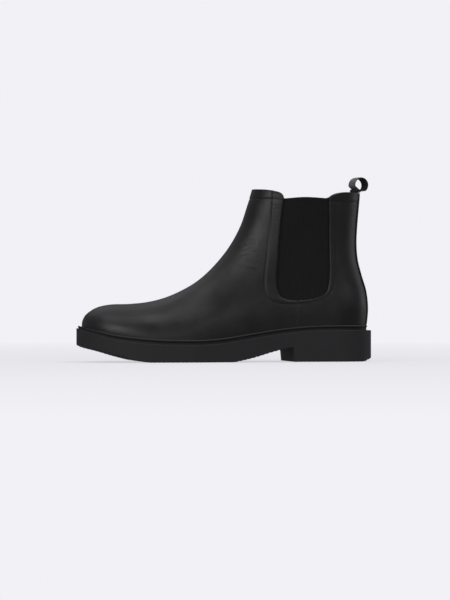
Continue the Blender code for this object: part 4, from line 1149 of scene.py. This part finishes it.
def build_welt():
    """A round bead that stands on the sole unit all round the upper, over a narrow neck."""
    line = outline()
    out = normals(line, closed=True)
    edge = graph(WELT_STAND)(line[:, 0])[:, None]
    radius = (WELT_HEIGHT - WELT_BEAD_LOW) / 2
    middle = WELT_BEAD_LOW + radius
    bead = [(edge - radius + radius * math.sin(a), middle + radius * math.cos(a))
            for a in np.linspace(0.0, math.pi, WELT_BEAD_STEPS)]
    profile = [(None, WELT_SEAT), (None, WELT_HEIGHT - WELT_SINK), *bead]
    neck = edge - graph(WELT_NECK)(line[:, 0])[:, None]
    profile += [(neck, WELT_BEAD_LOW), (neck, WELT_SEAT)]
    scale = graph(WELT_SCALE)(line[:, 0])
    rows = []
    for reach, height in profile:
        if reach is None:
            wall = outline(max(height, GAP))
            plan = wall + normals(wall, closed=True) * WELT_CONTACT
        else:
            plan = line + out * reach
        rows.append(np.column_stack([plan, sole_top(plan[:, 0]) + height * scale]))
    rows.append(rows[0])
    grid = np.array(rows)
    grid = np.concatenate([grid, grid[:, :1]], axis=1)
    mesh = grid_mesh("welt_rubber", [(grid, None)])
    close(mesh)
    mesh.set_sharp_from_angle(angle=CREASE_ANGLE)
    piece = add_object("welt_rubber", mesh, rubber)
    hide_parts("welt")


# Insole -------------------------------------------------------------------------------------------

def cushion(name, inset, start_x, low, thickness, crown, finish):
    """A sheet or pad that follows the sole unit's top face, thinner towards its rim."""
    sides, (toe, heel) = plan_sides(-inset)
    first = toe + SHEET_END if start_x is None else start_x
    x = first + (heel - SHEET_END - first) * ease(SHEET_STEPS["along"], start_x is None, True, softness=PLAN_EASE)
    t = even(SHEET_STEPS["across"])
    across = (1 - t)[:, None] * sides[0](x) + t[:, None] * sides[1](x)
    rim = np.minimum(across - sides[0](x), sides[1](x) - across)
    rim = np.minimum(rim, np.minimum(x - x[0], x[-1] - x))
    height = sole_top(x) + low(x) + np.zeros_like(across)
    full = thickness - crown * (1 - smoothstep(rim / CUSHION_ROLL))
    over = np.stack([np.broadcast_to(x, across.shape), across, height + full], axis=-1)
    under = np.stack([np.broadcast_to(x, across.shape), across, height], axis=-1)
    mesh = grid_mesh(name, shell_grids(over, under, (0.0, 0.0, 1.0)))
    mesh.set_sharp_from_angle(angle=CREASE_ANGLE)
    piece = add_object(name, mesh, finish)
    return piece


def build_footbed():
    rise = PAD_THICKNESS + GAP

    def sock_low(x):
        return PAD_LOW + rise * smoothstep((x - SOCK_RISE_X[0]) / (SOCK_RISE_X[1] - SOCK_RISE_X[0]))

    piece = cushion("sock_liner_leather", SOCK_INSET, None, sock_low, SOCK_THICKNESS, SOCK_CROWN, sock)
    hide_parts("sock_liner")
    piece = cushion("heel_pad_foam", PAD_INSET, PAD_START_X, lambda x: PAD_LOW, PAD_THICKNESS, PAD_CROWN,
                    foam)
    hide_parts("heel_pad")


# Studio -------------------------------------------------------------------------------------------

def build_sweep():
    """Pale paper that lies on the floor and curves up behind the boot. It glows as lit paper,
    less so near the boot, which paints a soft shade round the boot."""
    made, tree, shader = principled("paper", PAPER, 0.9, Specular_IOR_Level=0.1)
    fibres = noise(tree, stretched_place(tree), 60.0)
    tree.links.new(ranged(tree, fibres, 0.88, 0.92), shader.inputs["Roughness"])
    glow = node(tree, "Emission", {"Color": (*PAPER, 1.0), "Strength": 1.0})
    away = node(tree, "VectorMath", {0: stretched_place(tree)}, operation="LENGTH").outputs["Value"]
    # Less glow near the boot: painted shade round it, fading out with distance.
    share = ranged(tree, away, *PAPER_GLOW, *PAPER_SHADE_REACH)
    shared = node(tree, "MixShader", {0: share, 1: shader.outputs["BSDF"], 2: glow.outputs["Emission"]})
    tree.links.new(shared.outputs["Shader"], tree.nodes["Material Output"].inputs["Surface"])
    turn = np.linspace(-math.pi / 2, 0.0, 24)
    line = [(FLOOR_FRONT, 0.0)]
    line += [(FLOOR_BACK + SWEEP_RADIUS * math.cos(a), SWEEP_RADIUS * (1 + math.sin(a))) for a in turn]
    line.append((FLOOR_BACK + SWEEP_RADIUS, SWEEP_HEIGHT))
    points = [(side * FLOOR_HALF_WIDTH, y, z - FLOOR_DROP) for y, z in line for side in (-1, 1)]
    faces = [(i, i + 1, i + 3, i + 2) for i in range(0, len(points) - 2, 2)]
    mesh = bpy.data.meshes.new("paper_sweep")
    mesh.from_pydata(points, [], faces)
    mesh.shade_smooth()
    sweep = add_object("paper_sweep", mesh, made, None)
    sweep.visible_glossy = False
    sweep.visible_diffuse = False
    sweep.visible_shadow = False


def add_softbox(name, place, size, power):
    lamp = bpy.data.lights.new(name, "AREA")
    lamp.shape = "RECTANGLE"
    lamp.size, lamp.size_y = size
    lamp.energy = power
    item = bpy.data.objects.new(name, lamp)
    item.location = place
    item.rotation_euler = (Vector(SOFTBOX_AIM) - Vector(place)).to_track_quat("-Z", "Y").to_euler()
    bpy.context.scene.collection.objects.link(item)


def build_studio():
    world = bpy.data.worlds.new("studio")
    world.use_nodes = True
    world.node_tree.nodes["Background"].inputs["Color"].default_value = (*PAPER, 1.0)
    world.node_tree.nodes["Background"].inputs["Strength"].default_value = WORLD_STRENGTH
    scene = bpy.context.scene
    scene.world = world
    scene.view_settings.view_transform = "Standard"
    build_sweep()
    for name, settings in SOFTBOXES.items():
        add_softbox(name, *settings)
    lens = bpy.data.cameras.new("camera")
    lens.lens, lens.sensor_width = CAMERA_FOCAL, CAMERA_SENSOR
    camera = bpy.data.objects.new("camera", lens)
    away = Vector((math.sin(CAMERA_AZIMUTH), -math.cos(CAMERA_AZIMUTH), 0.0))
    camera.location = away * CAMERA_DISTANCE + Vector((0.0, 0.0, CAMERA_HEIGHT))
    camera.rotation_euler = (-away).to_track_quat("-Z", "Y").to_euler()
    scene.collection.objects.link(camera)
    scene.camera = camera


build_leather()
build_linings()
build_gussets()
build_topline()
build_back_strip()
build_thread()
build_pull_loop()
build_outsole()
build_welt()
build_footbed()
finish_carried_nodes()
build_studio()
bpy.context.view_layer.update()
